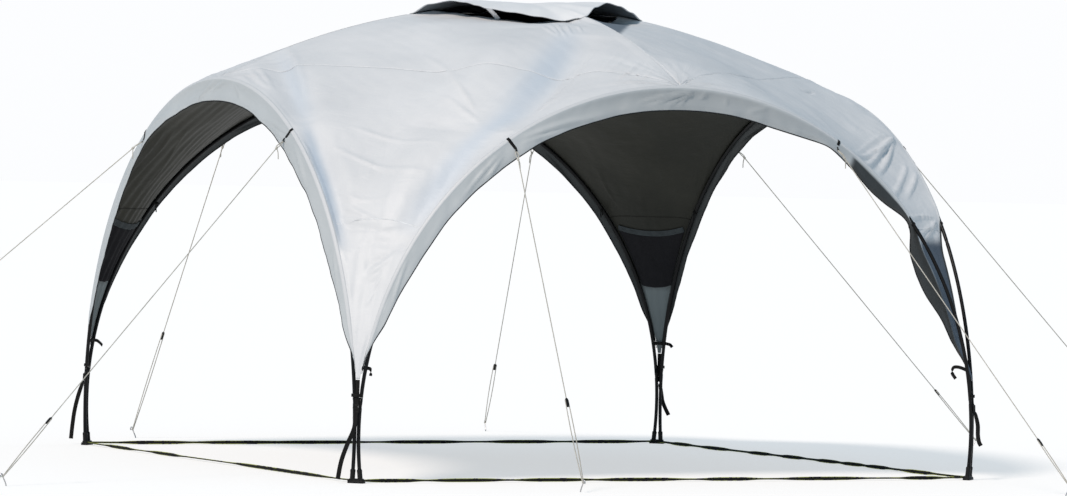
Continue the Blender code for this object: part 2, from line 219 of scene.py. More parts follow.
def hard_finish(name, colour, spread, roughness, metallic=0.0, coat=0.0, grain=500.0, bump=0.15, gloss=0.5):
    """Paint, plastic or steel: one colour with patches in its roughness and a fine grain."""
    material, tree, shader, where = new_material(name, Metallic=metallic, Coat_Weight=coat, Specular_IOR_Level=gloss)
    patches = add(tree, "TexNoise", {"Vector": where, "Scale": 9.0, "Detail": 6.0, "Roughness": 0.65})
    lighter = [c * (1 + spread) for c in colour]
    darker = [c * (1 - spread) for c in colour]
    tree.links.new(two_colours(tree, patches.outputs["Fac"], darker, lighter), shader.inputs["Base Color"])
    rough = add(tree, "MapRange", {"Value": patches.outputs["Fac"], "To Min": roughness - 0.08, "To Max": roughness + 0.12})
    tree.links.new(rough.outputs["Result"], shader.inputs["Roughness"])
    fine = add(tree, "TexNoise", {"Vector": where, "Scale": grain, "Detail": 3.0})
    relief = add(tree, "Bump", {"Height": fine.outputs["Fac"], "Strength": bump, "Distance": 0.0006})
    tree.links.new(relief.outputs["Normal"], shader.inputs["Normal"])
    return material


net_black = net_finish("black net")
black_paint = hard_finish("black powder coat", (0.006, 0.006, 0.0065), 0.25, 0.36, gloss=0.16)
fibre = hard_finish("black glass fibre", (0.008, 0.008, 0.008), 0.2, 0.38, grain=300.0, gloss=0.16)
plastic = hard_finish("black moulded plastic", (0.009, 0.009, 0.009), 0.2, 0.48, bump=0.3, gloss=0.16)
steel = hard_finish("zinc plated steel", (0.42, 0.42, 0.43), 0.2, 0.30, metallic=1.0)

# %% [markdown]
# ## Webbing and rope
#
# Webbing and rope have a direction, so their pattern follows the piece's own UV map. Its first
# number is the place across the strap in metres, and its second is the way along it. Webbing gets
# small ribs, a row of stitches near each edge and, on the ground straps, a yellow green edge
# thread. Rope gets a slanting wave for its braid.

# %% Webbing, tape and rope
def webbing_finish(name, colour, edge_colour, half_width, rib=0.0016):
    """Woven tape: ribs, stitches along both edges, and a coloured edge thread."""
    material, tree, shader, where = new_material(name, Roughness=0.82, Specular_IOR_Level=0.12)
    uv = add(tree, "SeparateXYZ", {"Vector": add(tree, "UVMap", uv_map="cloth").outputs["UV"]})
    across = maths(tree, "ABSOLUTE", uv.outputs["X"])
    along = uv.outputs["Y"]
    ribs = maths(tree, "SINE", maths(tree, "MULTIPLY", along, 2 * math.pi / rib))
    wear = add(tree, "TexNoise", {"Vector": where, "Scale": 20.0, "Detail": 5.0, "Roughness": 0.7})
    faded = [min(c * 1.5 + 0.003, 1.0) for c in colour]
    body = two_colours(tree, wear.outputs["Fac"], colour, faded)
    edge = maths(tree, "GREATER_THAN", across, half_width - 0.0030)
    patchy = maths(tree, "GREATER_THAN", wear.outputs["Fac"], 0.47)
    body = mixed(tree, maths(tree, "MULTIPLY", edge, patchy), body, (*edge_colour, 1))
    near = maths(tree, "COMPARE", across, half_width - 0.0042, 0.0006)
    dashes = maths(tree, "GREATER_THAN", maths(tree, "SINE", maths(tree, "MULTIPLY", along, 2 * math.pi / 0.0045)), -0.4)
    stitches = maths(tree, "MULTIPLY", near, dashes)
    body = mixed(tree, maths(tree, "MULTIPLY", stitches, 0.5), body, (*[min(c * 2.5 + 0.02, 1.0) for c in colour], 1))
    tree.links.new(body, shader.inputs["Base Color"])
    height = maths(tree, "ADD", maths(tree, "MULTIPLY", ribs, 0.5), stitches)
    relief = add(tree, "Bump", {"Height": height, "Strength": 0.4, "Distance": 0.0006})
    tree.links.new(relief.outputs["Normal"], shader.inputs["Normal"])
    return material


def rope_finish(name, dark, light):
    """Braided rope: two slanting waves that cross."""
    material, tree, shader, where = new_material(name, Roughness=0.8, Sheen_Weight=0.2)
    uv = add(tree, "SeparateXYZ", {"Vector": add(tree, "UVMap", uv_map="cloth").outputs["UV"]})
    slant = maths(tree, "MULTIPLY", uv.outputs["X"], 900.0)
    pitch = maths(tree, "MULTIPLY", uv.outputs["Y"], 2 * math.pi / 0.007)
    one = maths(tree, "SINE", maths(tree, "ADD", pitch, slant))
    other = maths(tree, "SINE", maths(tree, "SUBTRACT", pitch, slant))
    braid = maths(tree, "MULTIPLY", maths(tree, "MULTIPLY", one, other), 0.5)
    dirt = add(tree, "TexNoise", {"Vector": where, "Scale": 12.0, "Detail": 4.0})
    amount = maths(tree, "ADD", maths(tree, "MULTIPLY", braid, 0.5), dirt.outputs["Fac"])
    tree.links.new(two_colours(tree, amount, dark, light), shader.inputs["Base Color"])
    relief = add(tree, "Bump", {"Height": braid, "Strength": 0.7, "Distance": 0.0008})
    tree.links.new(relief.outputs["Normal"], shader.inputs["Normal"])
    return material


STRAP_WIDTH = 0.022
BLACK = (0.006, 0.006, 0.006)
webbing = webbing_finish("black webbing", BLACK, BLACK, STRAP_WIDTH / 2)
ground_webbing = webbing_finish("ground strap webbing", BLACK, (0.36, 0.40, 0.10), STRAP_WIDTH / 2)
hem_tape = webbing_finish("black hem tape", (0.012, 0.013, 0.014), (0.012, 0.013, 0.014), 0.004, rib=0.001)
seam_tape = webbing_finish("silver seam tape", (0.50, 0.515, 0.53), (0.50, 0.515, 0.53), 0.006, rib=0.001)
net_hem_tape = webbing_finish("net hem tape", (0.032, 0.038, 0.041), (0.032, 0.038, 0.041), 0.019, rib=0.001)
lining_tape = webbing_finish("dark seam tape", (0.010, 0.010, 0.008), (0.010, 0.010, 0.008), 0.006, rib=0.001)
white_tape = webbing_finish("white vent tape", (0.72, 0.73, 0.75), (0.72, 0.73, 0.75), 0.010, rib=0.001)
pale_rope = rope_finish("pale braided rope", (0.34, 0.325, 0.28), (0.54, 0.52, 0.47))
print("materials:", len(bpy.data.materials))

# %% [markdown]
# ## Lines that carry the cloth
#
# The cloth follows the lines of the solid model: round arches, and shallow arcs for the ridges.
# The functions work on whole arrays of points at once, because a smooth cloth has tens of
# thousands of them. They are written for the front side, and turned() carries them to the others.

# %% The lines of the frame
HALF_SIDE = 1.75
ARCH_RADIUS = 1.735
ARCH_CENTRE = 0.24
ROOF_HEIGHT = 2.40
TIP_HEIGHT = 0.50
TUBE_COVER = 0.0115
CLOTH = 0.0025
CROWN_HEIGHT = ARCH_CENTRE + ARCH_RADIUS + TUBE_COVER
TIP_ANGLE = math.acos((TIP_HEIGHT - ARCH_CENTRE) / ARCH_RADIUS)
TIP = np.array((-1.7425, -1.7425, TIP_HEIGHT))
SIDES = ("front", "right", "back", "left")
CORNERS = ("front_left", "front_right", "back_right", "back_left")


def ease(share):
    """From 0 to 1 with a soft start and a soft end."""
    share = np.clip(share, 0.0, 1.0)
    return share * share * (3 - 2 * share)


def through(share, stops, values):
    """A soft line through some values."""
    total = np.full(np.shape(share), float(values[0]))
    for a, b, low, high in zip(stops, stops[1:], values, values[1:]):
        total = total + (high - low) * ease((share - a) / (b - a))
    return total


def points(x, y, z):
    """Points from their three coordinates."""
    return np.stack(np.broadcast_arrays(x, y, z), axis=-1).astype(float)


def unit(vectors):
    """The same directions, each one long."""
    return vectors / np.maximum(np.linalg.norm(vectors, axis=-1, keepdims=True), 1e-12)


def arch_points(angle, outward=0.0, forward=0.0):
    """By the front arch, at an angle from its crown."""
    radius = ARCH_RADIUS + outward
    return points(radius * np.sin(angle), -HALF_SIDE - forward, ARCH_CENTRE + radius * np.cos(angle))


def ridge_line(share):
    """The front ridge, from the top of the roof to the crown of the front arch."""
    reach = HALF_SIDE * share
    drop = ROOF_HEIGHT - CROWN_HEIGHT
    radius = (HALF_SIDE ** 2 + drop ** 2) / (2 * drop)
    return points(0 * reach, -reach, ROOF_HEIGHT - radius + np.sqrt(radius ** 2 - reach ** 2))


def arch_line(share):
    """The edge of the cloth on the front arch, from its crown to the front left tip."""
    end = arch_points(-TIP_ANGLE, TUBE_COVER)
    return arch_points(-TIP_ANGLE * share, TUBE_COVER) + (TIP - end) * ease((share - 0.80) / 0.20)[..., None]


def mirrored(place):
    """The same place on the left side."""
    return place[..., [1, 0, 2]]


def canopy_points(u, v):
    """The inner face of the taut cloth over the front left quarter."""
    a, b = u[..., None], v[..., None]
    across = ridge_line(u) * (1 - b) + mirrored(arch_line(u)) * b
    across = across + mirrored(ridge_line(v)) * (1 - a) + arch_line(v) * a
    one = np.ones(1)
    corners = ridge_line(0 * one) * ((1 - a) * (1 - b)) + ridge_line(one) * (a * (1 - b))
    corners = corners + mirrored(ridge_line(one)) * ((1 - a) * b) + TIP * (a * b)
    belly = 16 * a * (1 - a) * b * (1 - b)
    return across - corners + np.array((0.085, 0.085, -0.11)) * belly


def turned(place, index):
    """A place of the front side, turned to a later side or corner."""
    for _ in range(index % 4):
        place = np.stack((-place[..., 1], place[..., 0], place[..., 2]), axis=-1)
    return place


print("crown at", round(CROWN_HEIGHT, 3), "tip angle", round(math.degrees(TIP_ANGLE), 1))

# %% [markdown]
# ## How a piece of cloth is made
#
# Every cloth starts as a flat bmesh grid. Its points are then carried to their place in the air by
# a rule, as a tailor pins flat cloth over a form. A Solidify modifier gives it a thickness and
# puts the dark lining on the inner side, because the real cloth is coated on its inside. Columns
# can be set closer together where the folds are small. Two UV maps follow the pull in the cloth,
# across the corner and out from the crowns, and two point attributes say how strong each pull is.

# %% A helper that carries a flat grid to its place
def finish_piece(name, bm, materials, thickness=0.0, grow=1.0, rim=0):
    """Turn a bmesh into a smooth object, with a wall if it has a thickness."""
    mesh = bpy.data.meshes.new(name)
    bm.to_mesh(mesh)
    bm.free()
    mesh.shade_smooth()
    piece = bpy.data.objects.new(name, mesh)
    bpy.context.scene.collection.objects.link(piece)
    for material in materials:
        mesh.materials.append(material)
    if thickness:
        wall = piece.modifiers.new("thickness", "SOLIDIFY")
        wall.thickness = thickness
        wall.offset = grow
        wall.material_offset = len(materials) - 1
        wall.material_offset_rim = rim
    return piece


def pulls(u, v):
    """The pull's two maps and two strengths at shares of a quarter."""
    near_front = (u > v)
    near, far = np.where(near_front, 1 - u, 1 - v), np.where(near_front, v, u)
    distance, angle = np.hypot(near, far) * HALF_SIDE, np.arctan2(far, near)
    reach = u + v
    cross = ease((reach - 1.02) / 0.25) * ease((1.97 - reach) / 0.2) * ease((1 - np.maximum(u, v)) / 0.06)
    fan = np.exp(-distance / 0.42) * ease(distance / 0.05) * ease(np.abs(u - v) / 0.15)
    return (u - v) * HALF_SIDE, reach * 1.24, distance, angle, cross, fan


def cloth_piece(name, rule, columns, rows, thickness, materials, grow=1.0, rim=0, crowd=None, under=None, seam=False, shares=None):
    """A grid of columns by rows, laid on rule(across, along), where both run from 0 to 1."""
    bm = bmesh.new()
    bmesh.ops.create_grid(bm, x_segments=columns, y_segments=rows, size=0.5)
    flat = np.array([vertex.co[:2] for vertex in bm.verts]) + 0.5
    if crowd:
        flat[:, 0] = np.interp(flat[:, 0], *crowd)
    # The point attribute for the lining's colour and for painted shade, painted shadow, painted sky reflection and
    # painted lit bands.
    shade = bm.verts.layers.float.new("lining_and_painted_light")
    painted_amount = under(flat[:, 0], flat[:, 1]) if under else np.zeros(len(flat))
    for vertex, place, dark in zip(bm.verts, rule(flat[:, 0], flat[:, 1]), painted_amount):
        vertex.co = place
        vertex[shade] = dark
    if shares:
        x, y, distance, angle, cross, fan = pulls(*shares(flat[:, 0], flat[:, 1]))
        maps = (bm.loops.layers.uv.new("cloth"), x, y), (bm.loops.layers.uv.new("fan"), distance, angle)
        strengths = (bm.verts.layers.float.new("cross_pull"), cross), (bm.verts.layers.float.new("fan_pull"), fan)
        bm.verts.index_update()
        for layer, values in strengths:
            for vertex in bm.verts:
                vertex[layer] = values[vertex.index]
        for face in bm.faces:
            for loop in face.loops:
                for layer, first, second in maps:
                    loop[layer].uv = first[loop.vert.index], second[loop.vert.index]
    if seam:
        bmesh.ops.remove_doubles(bm, verts=bm.verts, dist=0.00005)
    return finish_piece(name, bm, materials, thickness, grow, rim)


# %% [markdown]
# ## How a tube, a strap or a rope is made
#
# A tube, a strap and a rope are the same idea: a closed outline carried along a path. A grid is
# rolled up for it. Its rows go round the outline and its columns follow the path, the two edges
# that meet are merged, and the open ends are filled. A high power squares the round outline off,
# which turns a rope into a strap. The UV map keeps the place across and the way along, in metres.

# %% A helper that rolls a grid round a path
def wrap(bm, path, across, width, thick=None, sides=16, power=2.0, look=0):
    """Roll a tube or a strap round a path. Widths are half sizes, one for all or one a point."""
    path = np.asarray(path, float)
    last = len(path) - 1
    along = unit(np.gradient(path, axis=0))
    across = np.broadcast_to(np.asarray(across, float), path.shape)
    across = unit(across - along * np.sum(across * along, axis=1, keepdims=True))
    through = np.cross(along, across)
    width = np.broadcast_to(width, last + 1)
    thick = width if thick is None else np.broadcast_to(thick, last + 1)
    length = np.concatenate([[0.0], np.cumsum(np.linalg.norm(np.diff(path, axis=0), axis=1))])
    before = set(bm.faces)
    made = bmesh.ops.create_grid(bm, x_segments=last, y_segments=sides, size=0.5)["verts"]
    flat = np.array([vertex.co[:2] for vertex in made]) + 0.5
    step = np.rint(flat[:, 0] * last).astype(int)
    turn = np.rint(flat[:, 1] * sides) / sides * 2 * math.pi
    cos, sin = np.cos(turn), np.sin(turn)
    x = np.sign(cos) * np.abs(cos) ** (2 / power) * width[step]
    y = np.sign(sin) * np.abs(sin) ** (2 / power) * thick[step]
    placed = path[step] + across[step] * x[:, None] + through[step] * y[:, None]
    layer = bm.loops.layers.uv.get("cloth") or bm.loops.layers.uv.new("cloth")
    first_part = turn if power == 2.0 else x
    mark = {vertex: (float(a), float(length[s])) for vertex, a, s in zip(made, first_part, step)}
    for face in set(bm.faces) - before:
        face.material_index = look
        face.smooth = True
        for loop in face.loops:
            loop[layer].uv = mark[loop.vert]
    for vertex, place in zip(made, placed):
        vertex.co = place
    bmesh.ops.remove_doubles(bm, verts=made, dist=1e-6)
    ends = [edge for edge in bm.edges if edge.is_boundary]
    for face in bmesh.ops.holes_fill(bm, edges=ends)["faces"]:
        face.material_index = look


def hard_piece(name, bm, materials):
    """Finish a piece that is made of closed tubes or blocks."""
    bmesh.ops.recalc_face_normals(bm, faces=bm.faces)
    return finish_piece(name, bm, materials)


def smooth_path(corners, steps):
    """A soft line through some points."""
    corners = np.asarray(corners, float)
    padded = np.vstack((2 * corners[0] - corners[1], corners, 2 * corners[-1] - corners[-2]))
    line = []
    for k in range(len(corners) - 1):
        a, b, c, d = padded[k:k + 4]
        for t in np.linspace(0, 1, steps, endpoint=False):
            line.append(0.5 * (2 * b + (c - a) * t + (2 * a - 5 * b + 4 * c - d) * t ** 2 + (3 * b - a - 3 * c + d) * t ** 3))
    return np.array(line + [corners[-1]])


# %% [markdown]
# ## Folds
#
# Cloth that is pulled from a few points folds along the lines of the pull. Here they spread from
# the crowns, from the tabs and from the ties, and long ones cross from arch to arch. A fold is a
# stroke: three places on the quarter, in shares along the front and left ridges, then a width and
# a height in metres. A negative height is a valley. The two widest strokes are the valley that
# the pull between the crowns draws down the front corner.

# %% The folds of each quarter
FOLDS = {
    0: (
        (0.58, 0.09, 0.81, 0.26, 0.94, 0.41, 0.120, -0.062), (0.94, 0.40, 0.94, 0.60, 0.96, 0.76, 0.090, -0.050),
        (0.40, 0.20, 0.63, 0.42, 0.74, 0.57, 0.150, 0.042), (0.74, 0.56, 0.79, 0.70, 0.86, 0.82, 0.120, 0.036),
        (0.01, 0.84, 0.22, 0.91, 0.40, 0.95, 0.075, -0.042), (0.38, 0.94, 0.57, 0.95, 0.76, 0.96, 0.052, -0.034),
        (0.00, 0.79, 0.20, 0.86, 0.37, 0.93, 0.024, 0.012),
        (0.70, 0.15, 0.83, 0.25, 0.92, 0.32, 0.012, 0.006), (0.67, 0.25, 0.77, 0.38, 0.77, 0.48, 0.018, 0.004),
        (0.75, 0.06, 0.80, 0.10, 0.84, 0.14, 0.009, 0.004), (0.77, 0.04, 0.83, 0.09, 0.88, 0.14, 0.009, 0.004),
        (0.82, 0.02, 0.89, 0.08, 0.96, 0.14, 0.010, 0.005), (0.86, 0.05, 0.90, 0.09, 0.93, 0.12, 0.008, 0.004),
        (0.88, 0.03, 0.93, 0.08, 0.98, 0.13, 0.009, 0.005), (0.88, 0.01, 0.94, 0.06, 1.00, 0.12, 0.009, 0.005),
        (0.69, 0.10, 0.75, 0.15, 0.80, 0.20, 0.010, 0.004), (0.77, 0.15, 0.83, 0.21, 0.90, 0.27, 0.010, 0.005),
        (0.82, 0.21, 0.86, 0.25, 0.91, 0.30, 0.009, 0.004), (0.41, 0.15, 0.48, 0.16, 0.55, 0.16, 0.009, 0.006),
        (0.41, 0.13, 0.48, 0.14, 0.56, 0.16, 0.008, 0.006), (0.43, 0.11, 0.50, 0.13, 0.57, 0.14, 0.008, 0.006),
        (0.45, 0.09, 0.51, 0.11, 0.56, 0.12, 0.008, 0.006), (0.48, 0.07, 0.52, 0.08, 0.56, 0.09, 0.008, 0.005),
        (0.36, 0.52, 0.51, 0.49, 0.67, 0.47, 0.018, 0.005), (0.51, 0.49, 0.61, 0.49, 0.71, 0.48, 0.014, 0.004),
        (0.50, 0.91, 0.69, 0.77, 0.86, 0.62, 0.013, 0.007), (0.49, 0.83, 0.63, 0.72, 0.81, 0.57, 0.012, 0.006),
        (0.61, 0.83, 0.76, 0.72, 0.83, 0.65, 0.008, 0.004), (0.62, 0.94, 0.70, 0.87, 0.80, 0.76, 0.009, 0.004),
        (0.65, 0.94, 0.73, 0.88, 0.83, 0.80, 0.012, 0.007), (0.67, 0.96, 0.73, 0.90, 0.82, 0.81, 0.014, 0.009),
        (0.83, 0.82, 0.87, 0.77, 0.92, 0.72, 0.010, 0.005), (0.71, 0.95, 0.79, 0.86, 0.89, 0.77, 0.014, -0.006),
        (0.95, 0.77, 0.90, 0.85, 0.86, 0.92, 0.018, 0.009), (0.94, 0.76, 0.89, 0.84, 0.85, 0.90, 0.018, -0.006),
        (0.94, 0.81, 0.91, 0.86, 0.88, 0.90, 0.009, 0.005), (0.94, 0.82, 0.93, 0.86, 0.92, 0.89, 0.009, 0.006),
        (0.94, 0.86, 0.93, 0.89, 0.92, 0.92, 0.008, 0.004), (0.78, 0.91, 0.80, 0.88, 0.83, 0.85, 0.009, 0.004),
        (0.57, 0.49, 0.69, 0.48, 0.81, 0.46, 0.010, 0.006), (0.62, 0.54, 0.73, 0.50, 0.83, 0.46, 0.010, 0.006),
        (0.68, 0.53, 0.77, 0.49, 0.85, 0.46, 0.010, 0.006), (0.92, 0.34, 0.90, 0.30, 0.87, 0.26, 0.012, 0.006),
        (0.44, 0.99, 0.46, 0.99, 0.49, 0.98, 0.007, 0.004),
        (0.42, 1.00, 0.45, 0.99, 0.47, 0.98, 0.007, 0.004), (0.06, 0.98, 0.12, 0.99, 0.17, 1.00, 0.014, 0.009),
        (0.06, 0.94, 0.13, 0.96, 0.20, 0.97, 0.014, 0.009), (0.06, 0.92, 0.14, 0.94, 0.21, 0.96, 0.014, 0.008)),
    1: (
        (0.02, 0.83, 0.02, 0.89, 0.02, 0.96, 0.009, 0.006), (0.05, 0.85, 0.04, 0.91, 0.04, 0.97, 0.009, 0.006),
        (0.21, 0.82, 0.27, 0.80, 0.33, 0.78, 0.030, 0.010), (0.68, 0.39, 0.73, 0.36, 0.77, 0.32, 0.010, -0.014),
        (0.97, 0.39, 0.87, 0.51, 0.75, 0.61, 0.010, 0.013), (0.97, 0.40, 0.82, 0.55, 0.46, 0.93, 0.011, 0.014),
        (0.97, 0.40, 0.83, 0.55, 0.46, 0.99, 0.012, 0.019), (0.97, 0.40, 0.85, 0.56, 0.70, 0.74, 0.011, 0.019),
        (0.96, 0.40, 0.81, 0.53, 0.41, 1.00, 0.008, 0.006), (0.94, 0.51, 0.86, 0.62, 0.55, 1.00, 0.013, 0.013),
        (0.98, 0.51, 0.91, 0.60, 0.81, 0.72, 0.012, 0.014), (0.97, 0.65, 0.85, 0.74, 0.68, 0.91, 0.008, 0.010),
        (0.98, 0.65, 0.91, 0.72, 0.82, 0.82, 0.007, 0.010), (0.98, 0.65, 0.92, 0.72, 0.85, 0.82, 0.007, 0.010)),
    2: (
        (0.49, 0.91, 0.55, 0.94, 0.62, 0.95, 0.010, -0.005), (0.47, 0.95, 0.51, 0.97, 0.58, 0.99, 0.010, -0.005),
        (0.88, 0.60, 0.91, 0.64, 0.91, 0.69, 0.010, -0.005), (0.78, 0.72, 0.75, 0.76, 0.72, 0.79, 0.006, 0.004)),
    3: (
        (0.88, 0.46, 0.89, 0.56, 0.96, 0.61, 0.010, -0.006), (0.92, 0.45, 0.94, 0.53, 1.00, 0.58, 0.010, -0.006),
        (0.79, 0.62, 0.81, 0.68, 0.85, 0.72, 0.010, -0.006), (0.81, 0.53, 0.81, 0.61, 0.82, 0.68, 0.010, -0.006),
        (0.97, 0.42, 0.98, 0.51, 1.00, 0.60, 0.010, -0.006)),
}
print("folds:", sum(len(folds) for folds in FOLDS.values()))


# %% [markdown]
# ## From a taut cloth to a real one
#
# Three things turn the smooth sheet into cloth. A swell is a sum of slow waves, because no cloth is
# pulled evenly. The folds are added from the table. And every corner gets a few gathers that run
# down to its tip. All of it fades where a pole carries the cloth. At the front right corner the
# cloth has also slipped off its poles between two ties, and hangs a hand's breadth inside them.

# %% Swells, folds and the slipped corner
def swell(place, seed, length, height):
    """A sum of slow waves in scattered directions, always the same for a seed."""
    dice = np.random.default_rng(seed)
    total = np.zeros(place.shape[:-1])
    for _ in range(14):
        direction = unit(dice.normal(size=3))
        wave = 2 * math.pi / (length * dice.uniform(0.6, 1.7))
        total += np.sin(place @ direction * wave + dice.uniform(0, 2 * math.pi))
    return total * height / math.sqrt(14)


def stroke(place, path, width, height):
    """A fold along a path, highest on it and fading to its sides and its ends."""
    nearest = np.full(len(place), 9.0)
    where = np.zeros(len(place))
    last = len(path) - 1
    for step in range(last):
        a, along = path[step], path[step + 1] - path[step]
        t = np.clip(((place - a) @ along) / max(along @ along, 1e-12), 0, 1)
        distance = np.linalg.norm(place - a - t[:, None] * along, axis=-1)
        closer = distance < nearest
        nearest = np.where(closer, distance, nearest)
        where = np.where(closer, (step + t) / last, where)
    return height * np.exp(-(nearest / width) ** 2) * np.sin(np.pi * where) ** 0.7


def folds_at(place, index):
    """The height of all folds of a quarter."""
    total = np.zeros(len(place))
    t = np.linspace(0, 1, 9)
    for u0, v0, um, vm, u1, v1, width, height in FOLDS[index]:
        u = u0 * (1 - t) * (1 - 2 * t) + um * 4 * t * (1 - t) + u1 * t * (2 * t - 1)
        v = v0 * (1 - t) * (1 - 2 * t) + vm * 4 * t * (1 - t) + v1 * t * (2 * t - 1)
        path = canopy_points(u, v)
        near = np.all((place > path.min(0) - 3 * width) & (place < path.max(0) + 3 * width), axis=1)
        if near.any():
            total[near] += stroke(place[near], path, width, height)
    return total


# Where a painted reflection of the blue sky tints the front left quarter's valleys: a path, a width and a strength.
SKY_VALLEYS = (
    (0.50, 0.10, 0.73, 0.26, 0.91, 0.44, 0.085, 0.75), (0.86, 0.34, 0.90, 0.56, 0.93, 0.74, 0.060, 0.65),
    (0.00, 0.82, 0.25, 0.90, 0.40, 0.95, 0.050, 0.55), (0.38, 0.95, 0.56, 0.98, 0.74, 0.985, 0.035, 1.00),
)


def painted_sky_reflection(u, v):
    """How much painted reflection of the blue sky the cloth gets."""
    place = canopy_points(u, v)
    t = np.linspace(0, 1, 9)
    total = np.zeros(len(place))
    for u0, v0, um, vm, u1, v1, width, strength in SKY_VALLEYS:
        path_u = u0 * (1 - t) * (1 - 2 * t) + um * 4 * t * (1 - t) + u1 * t * (2 * t - 1)
        path_v = v0 * (1 - t) * (1 - 2 * t) + vm * 4 * t * (1 - t) + v1 * t * (2 * t - 1)
        total += stroke(place, canopy_points(path_u, path_v), width, strength)
    return np.minimum(total, 1)


def outward(u, v):
    """The direction out of the taut cloth."""
    a = canopy_points(u + 1e-3, v) - canopy_points(u - 1e-3, v)
    b = canopy_points(u, v + 1e-3) - canopy_points(u, v - 1e-3)
    return unit(np.cross(b, a))


def settled(place):
    """The front right corner's cloth has slipped inwards between its two ties."""
    x, y, z = place[..., 0], place[..., 1], place[..., 2]
    here = (x > 0.8) & (y < -0.8)
    shift = 0.052 * ease((1.40 - z) / 0.26) * ease((z - 0.50) / 0.24) * here
    return place + shift[..., None] * np.array((-1, 1, 0)) / math.sqrt(2)


def vent_sag(u, v, index):
    """How far the cloth hangs down at the free edges of the vent: near the front ridge, and under the hood."""
    reach = np.maximum(u + v, 1e-6)
    index = np.asarray(index)
    side = np.clip(np.where(index == 1, u, v) / reach, 0, 1)
    drop = through(side, (0, 0.04, 0.10, 0.30, 0.50, 0.70, 0.87, 1), (0, 0.022, 0.045, 0.064, 0.055, 0.030, 0.008, 0))
    hood = through(side, (0, 0.20, 0.52, 0.82, 1), (0, 0.030, 0.066, 0.030, 0))
    drop = np.where(index == 1, hood, drop) * np.where(index > 1, 0.1, 1.0)
    return drop * (1 - ease((reach - VENT_SHARE) / 0.28))


def tip_spread(u, v):
    """Near its tip the real cloth still reaches from pole to pole, and ends in a wedge."""
    on_front = arch_points(-TIP_ANGLE, TUBE_COVER) - TIP
    on_left = on_front[[1, 0, 2]]
    side = (1 - u) / np.maximum(2 - u - v, 1e-9)
    drawn_in = 1 - 0.52 * ease((u + v - 1.86) / 0.13)
    front = ease((v - 0.80) / 0.20) * (1 - side) * drawn_in
    left = ease((u - 0.80) / 0.20) * side * drawn_in
    return front[..., None] * on_front + left[..., None] * on_left


def cloth_points(u, v, index, out=0.0):
    """The real cloth of a quarter, at shares u and v, a little out from its inner face."""
    place = canopy_points(u, v) + tip_spread(u, v)
    edge = np.maximum(u, v)
    poles = ease(np.minimum(u, v) * HALF_SIDE / 0.05) * ease((1 - edge) * HALF_SIDE / 0.04)
    lift = swell(place, 30 + index, 0.42, 0.0042) + swell(place, 50 + index, 0.11, 0.0008)
    gather = np.sin(2 * np.pi * ((u - v) * 11 + 0.3 * index)) * np.exp(-(2 - u - v) / (0.25, 0.25, 0.30, 0.75)[index])
    lift += (0.0020, 0.0020, 0.0020, 0.0042)[index] * gather
    for near, far in ((1 - u, v), (1 - v, u)):
        distance = np.hypot(near, far) * HALF_SIDE
        angle = np.arctan2(far, near)
        fan = np.sin(angle * 23 + 1.3 * index) + 0.6 * np.sin(angle * 38 + 2.0 * index)
        lift += 0.0016 * fan * np.exp(-distance / 0.35) * ease(distance / 0.12)
    lift = (lift + folds_at(place, index)) * poles
    place = place + outward(u, v) * (lift + out)[..., None]
    place[..., 2] -= vent_sag(u, v, index)
    return settled(turned(place, index))


# %% [markdown]
# ## The roof
#
# The roof is one sheet, from the vent in the middle to the seams that join one crown to the next.
# It goes once round the middle, so its grid is a ring whose two ends are merged. Half of its
# columns are crowded into the front left quarter, which has the finest folds.

# %% Lay the roof
VENT_SHARE = 0.31


def roof_shares(across, along):
    """across goes once round, from the front ridge to the left; along goes from the vent out."""
    side = across * 4 - roof_quarter(across)
    reach = VENT_SHARE + (1 - VENT_SHARE) * along
    return reach * (1 - side), reach * side


def roof_quarter(across):
    """Which quarter of the roof it is, counted the way round that the grid goes."""
    return np.minimum(np.floor(across * 4 + 1e-9).astype(int), 3)


def roof_rule(across, along):
    """Each quarter of the roof is the front left one, turned."""
    u, v = roof_shares(across, along)
    place = np.zeros((len(across), 3))
    for k in range(4):
        here = roof_quarter(across) == k
        place[here] = cloth_points(u[here], v[here], (4 - k) % 4)
    return place


def roof_shade(across, along):
    """The painted sky reflection in the valleys, and a painted shadow of the hood beside the front ridge."""
    u, v = roof_shares(across, along)
    reach = u + v
    # A painted shadow of the vent's hood on the front right quarter, beside the front ridge.
    hood = 0.85 * ease((0.63 - 0.32 * u / reach - reach) / 0.03) * ease((0.80 - u / reach) / 0.1)
    return np.select((roof_quarter(across) == 0, roof_quarter(across) == 3), (-painted_sky_reflection(u, v), hood), 0.0)


crowd = ((0, 0.50, 0.64, 0.78, 1), (0, 0.25, 0.50, 0.75, 1))
roof = cloth_piece("canopy_roof", roof_rule, 536, 80, CLOTH, [silver, lining], crowd=crowd, under=roof_shade,
                   seam=True, shares=roof_shares)
print("roof faces:", len(roof.data.polygons))

# %% [markdown]
# ## The corners
#
# Each corner cloth hangs between two arches and runs down to a tip. Tension between the arches
# draws its middle inwards, so it curves both ways like a saddle.

# %% Lay the four corners
def corner_shares(across, along):
    """across goes from the front arch's side to the left arch's, along from the seam to the tip."""
    reach = 1 + 0.996 * along
    spread = 2 - reach
    return reach - 1 + spread * (1 - across), reach - 1 + spread * across


def corner_shade(index):
    """The painted sky reflection in the valleys, and the painted shade of the slipped corner under its flap."""
    def rule(across, along):
        if index == 0:
            return -painted_sky_reflection(*corner_shares(across, along))
        if index != 1:
            return np.zeros(len(across))
        # Painted shade: the slipped corner's cloth below its tie is painted navy.
        height = canopy_points(*corner_shares(across, along))[:, 2]
        return 0.93 * ease((1.25 - height) / 0.06) * ease((0.78 - across + 0.9 * (1.05 - height)) / 0.12)
    return rule


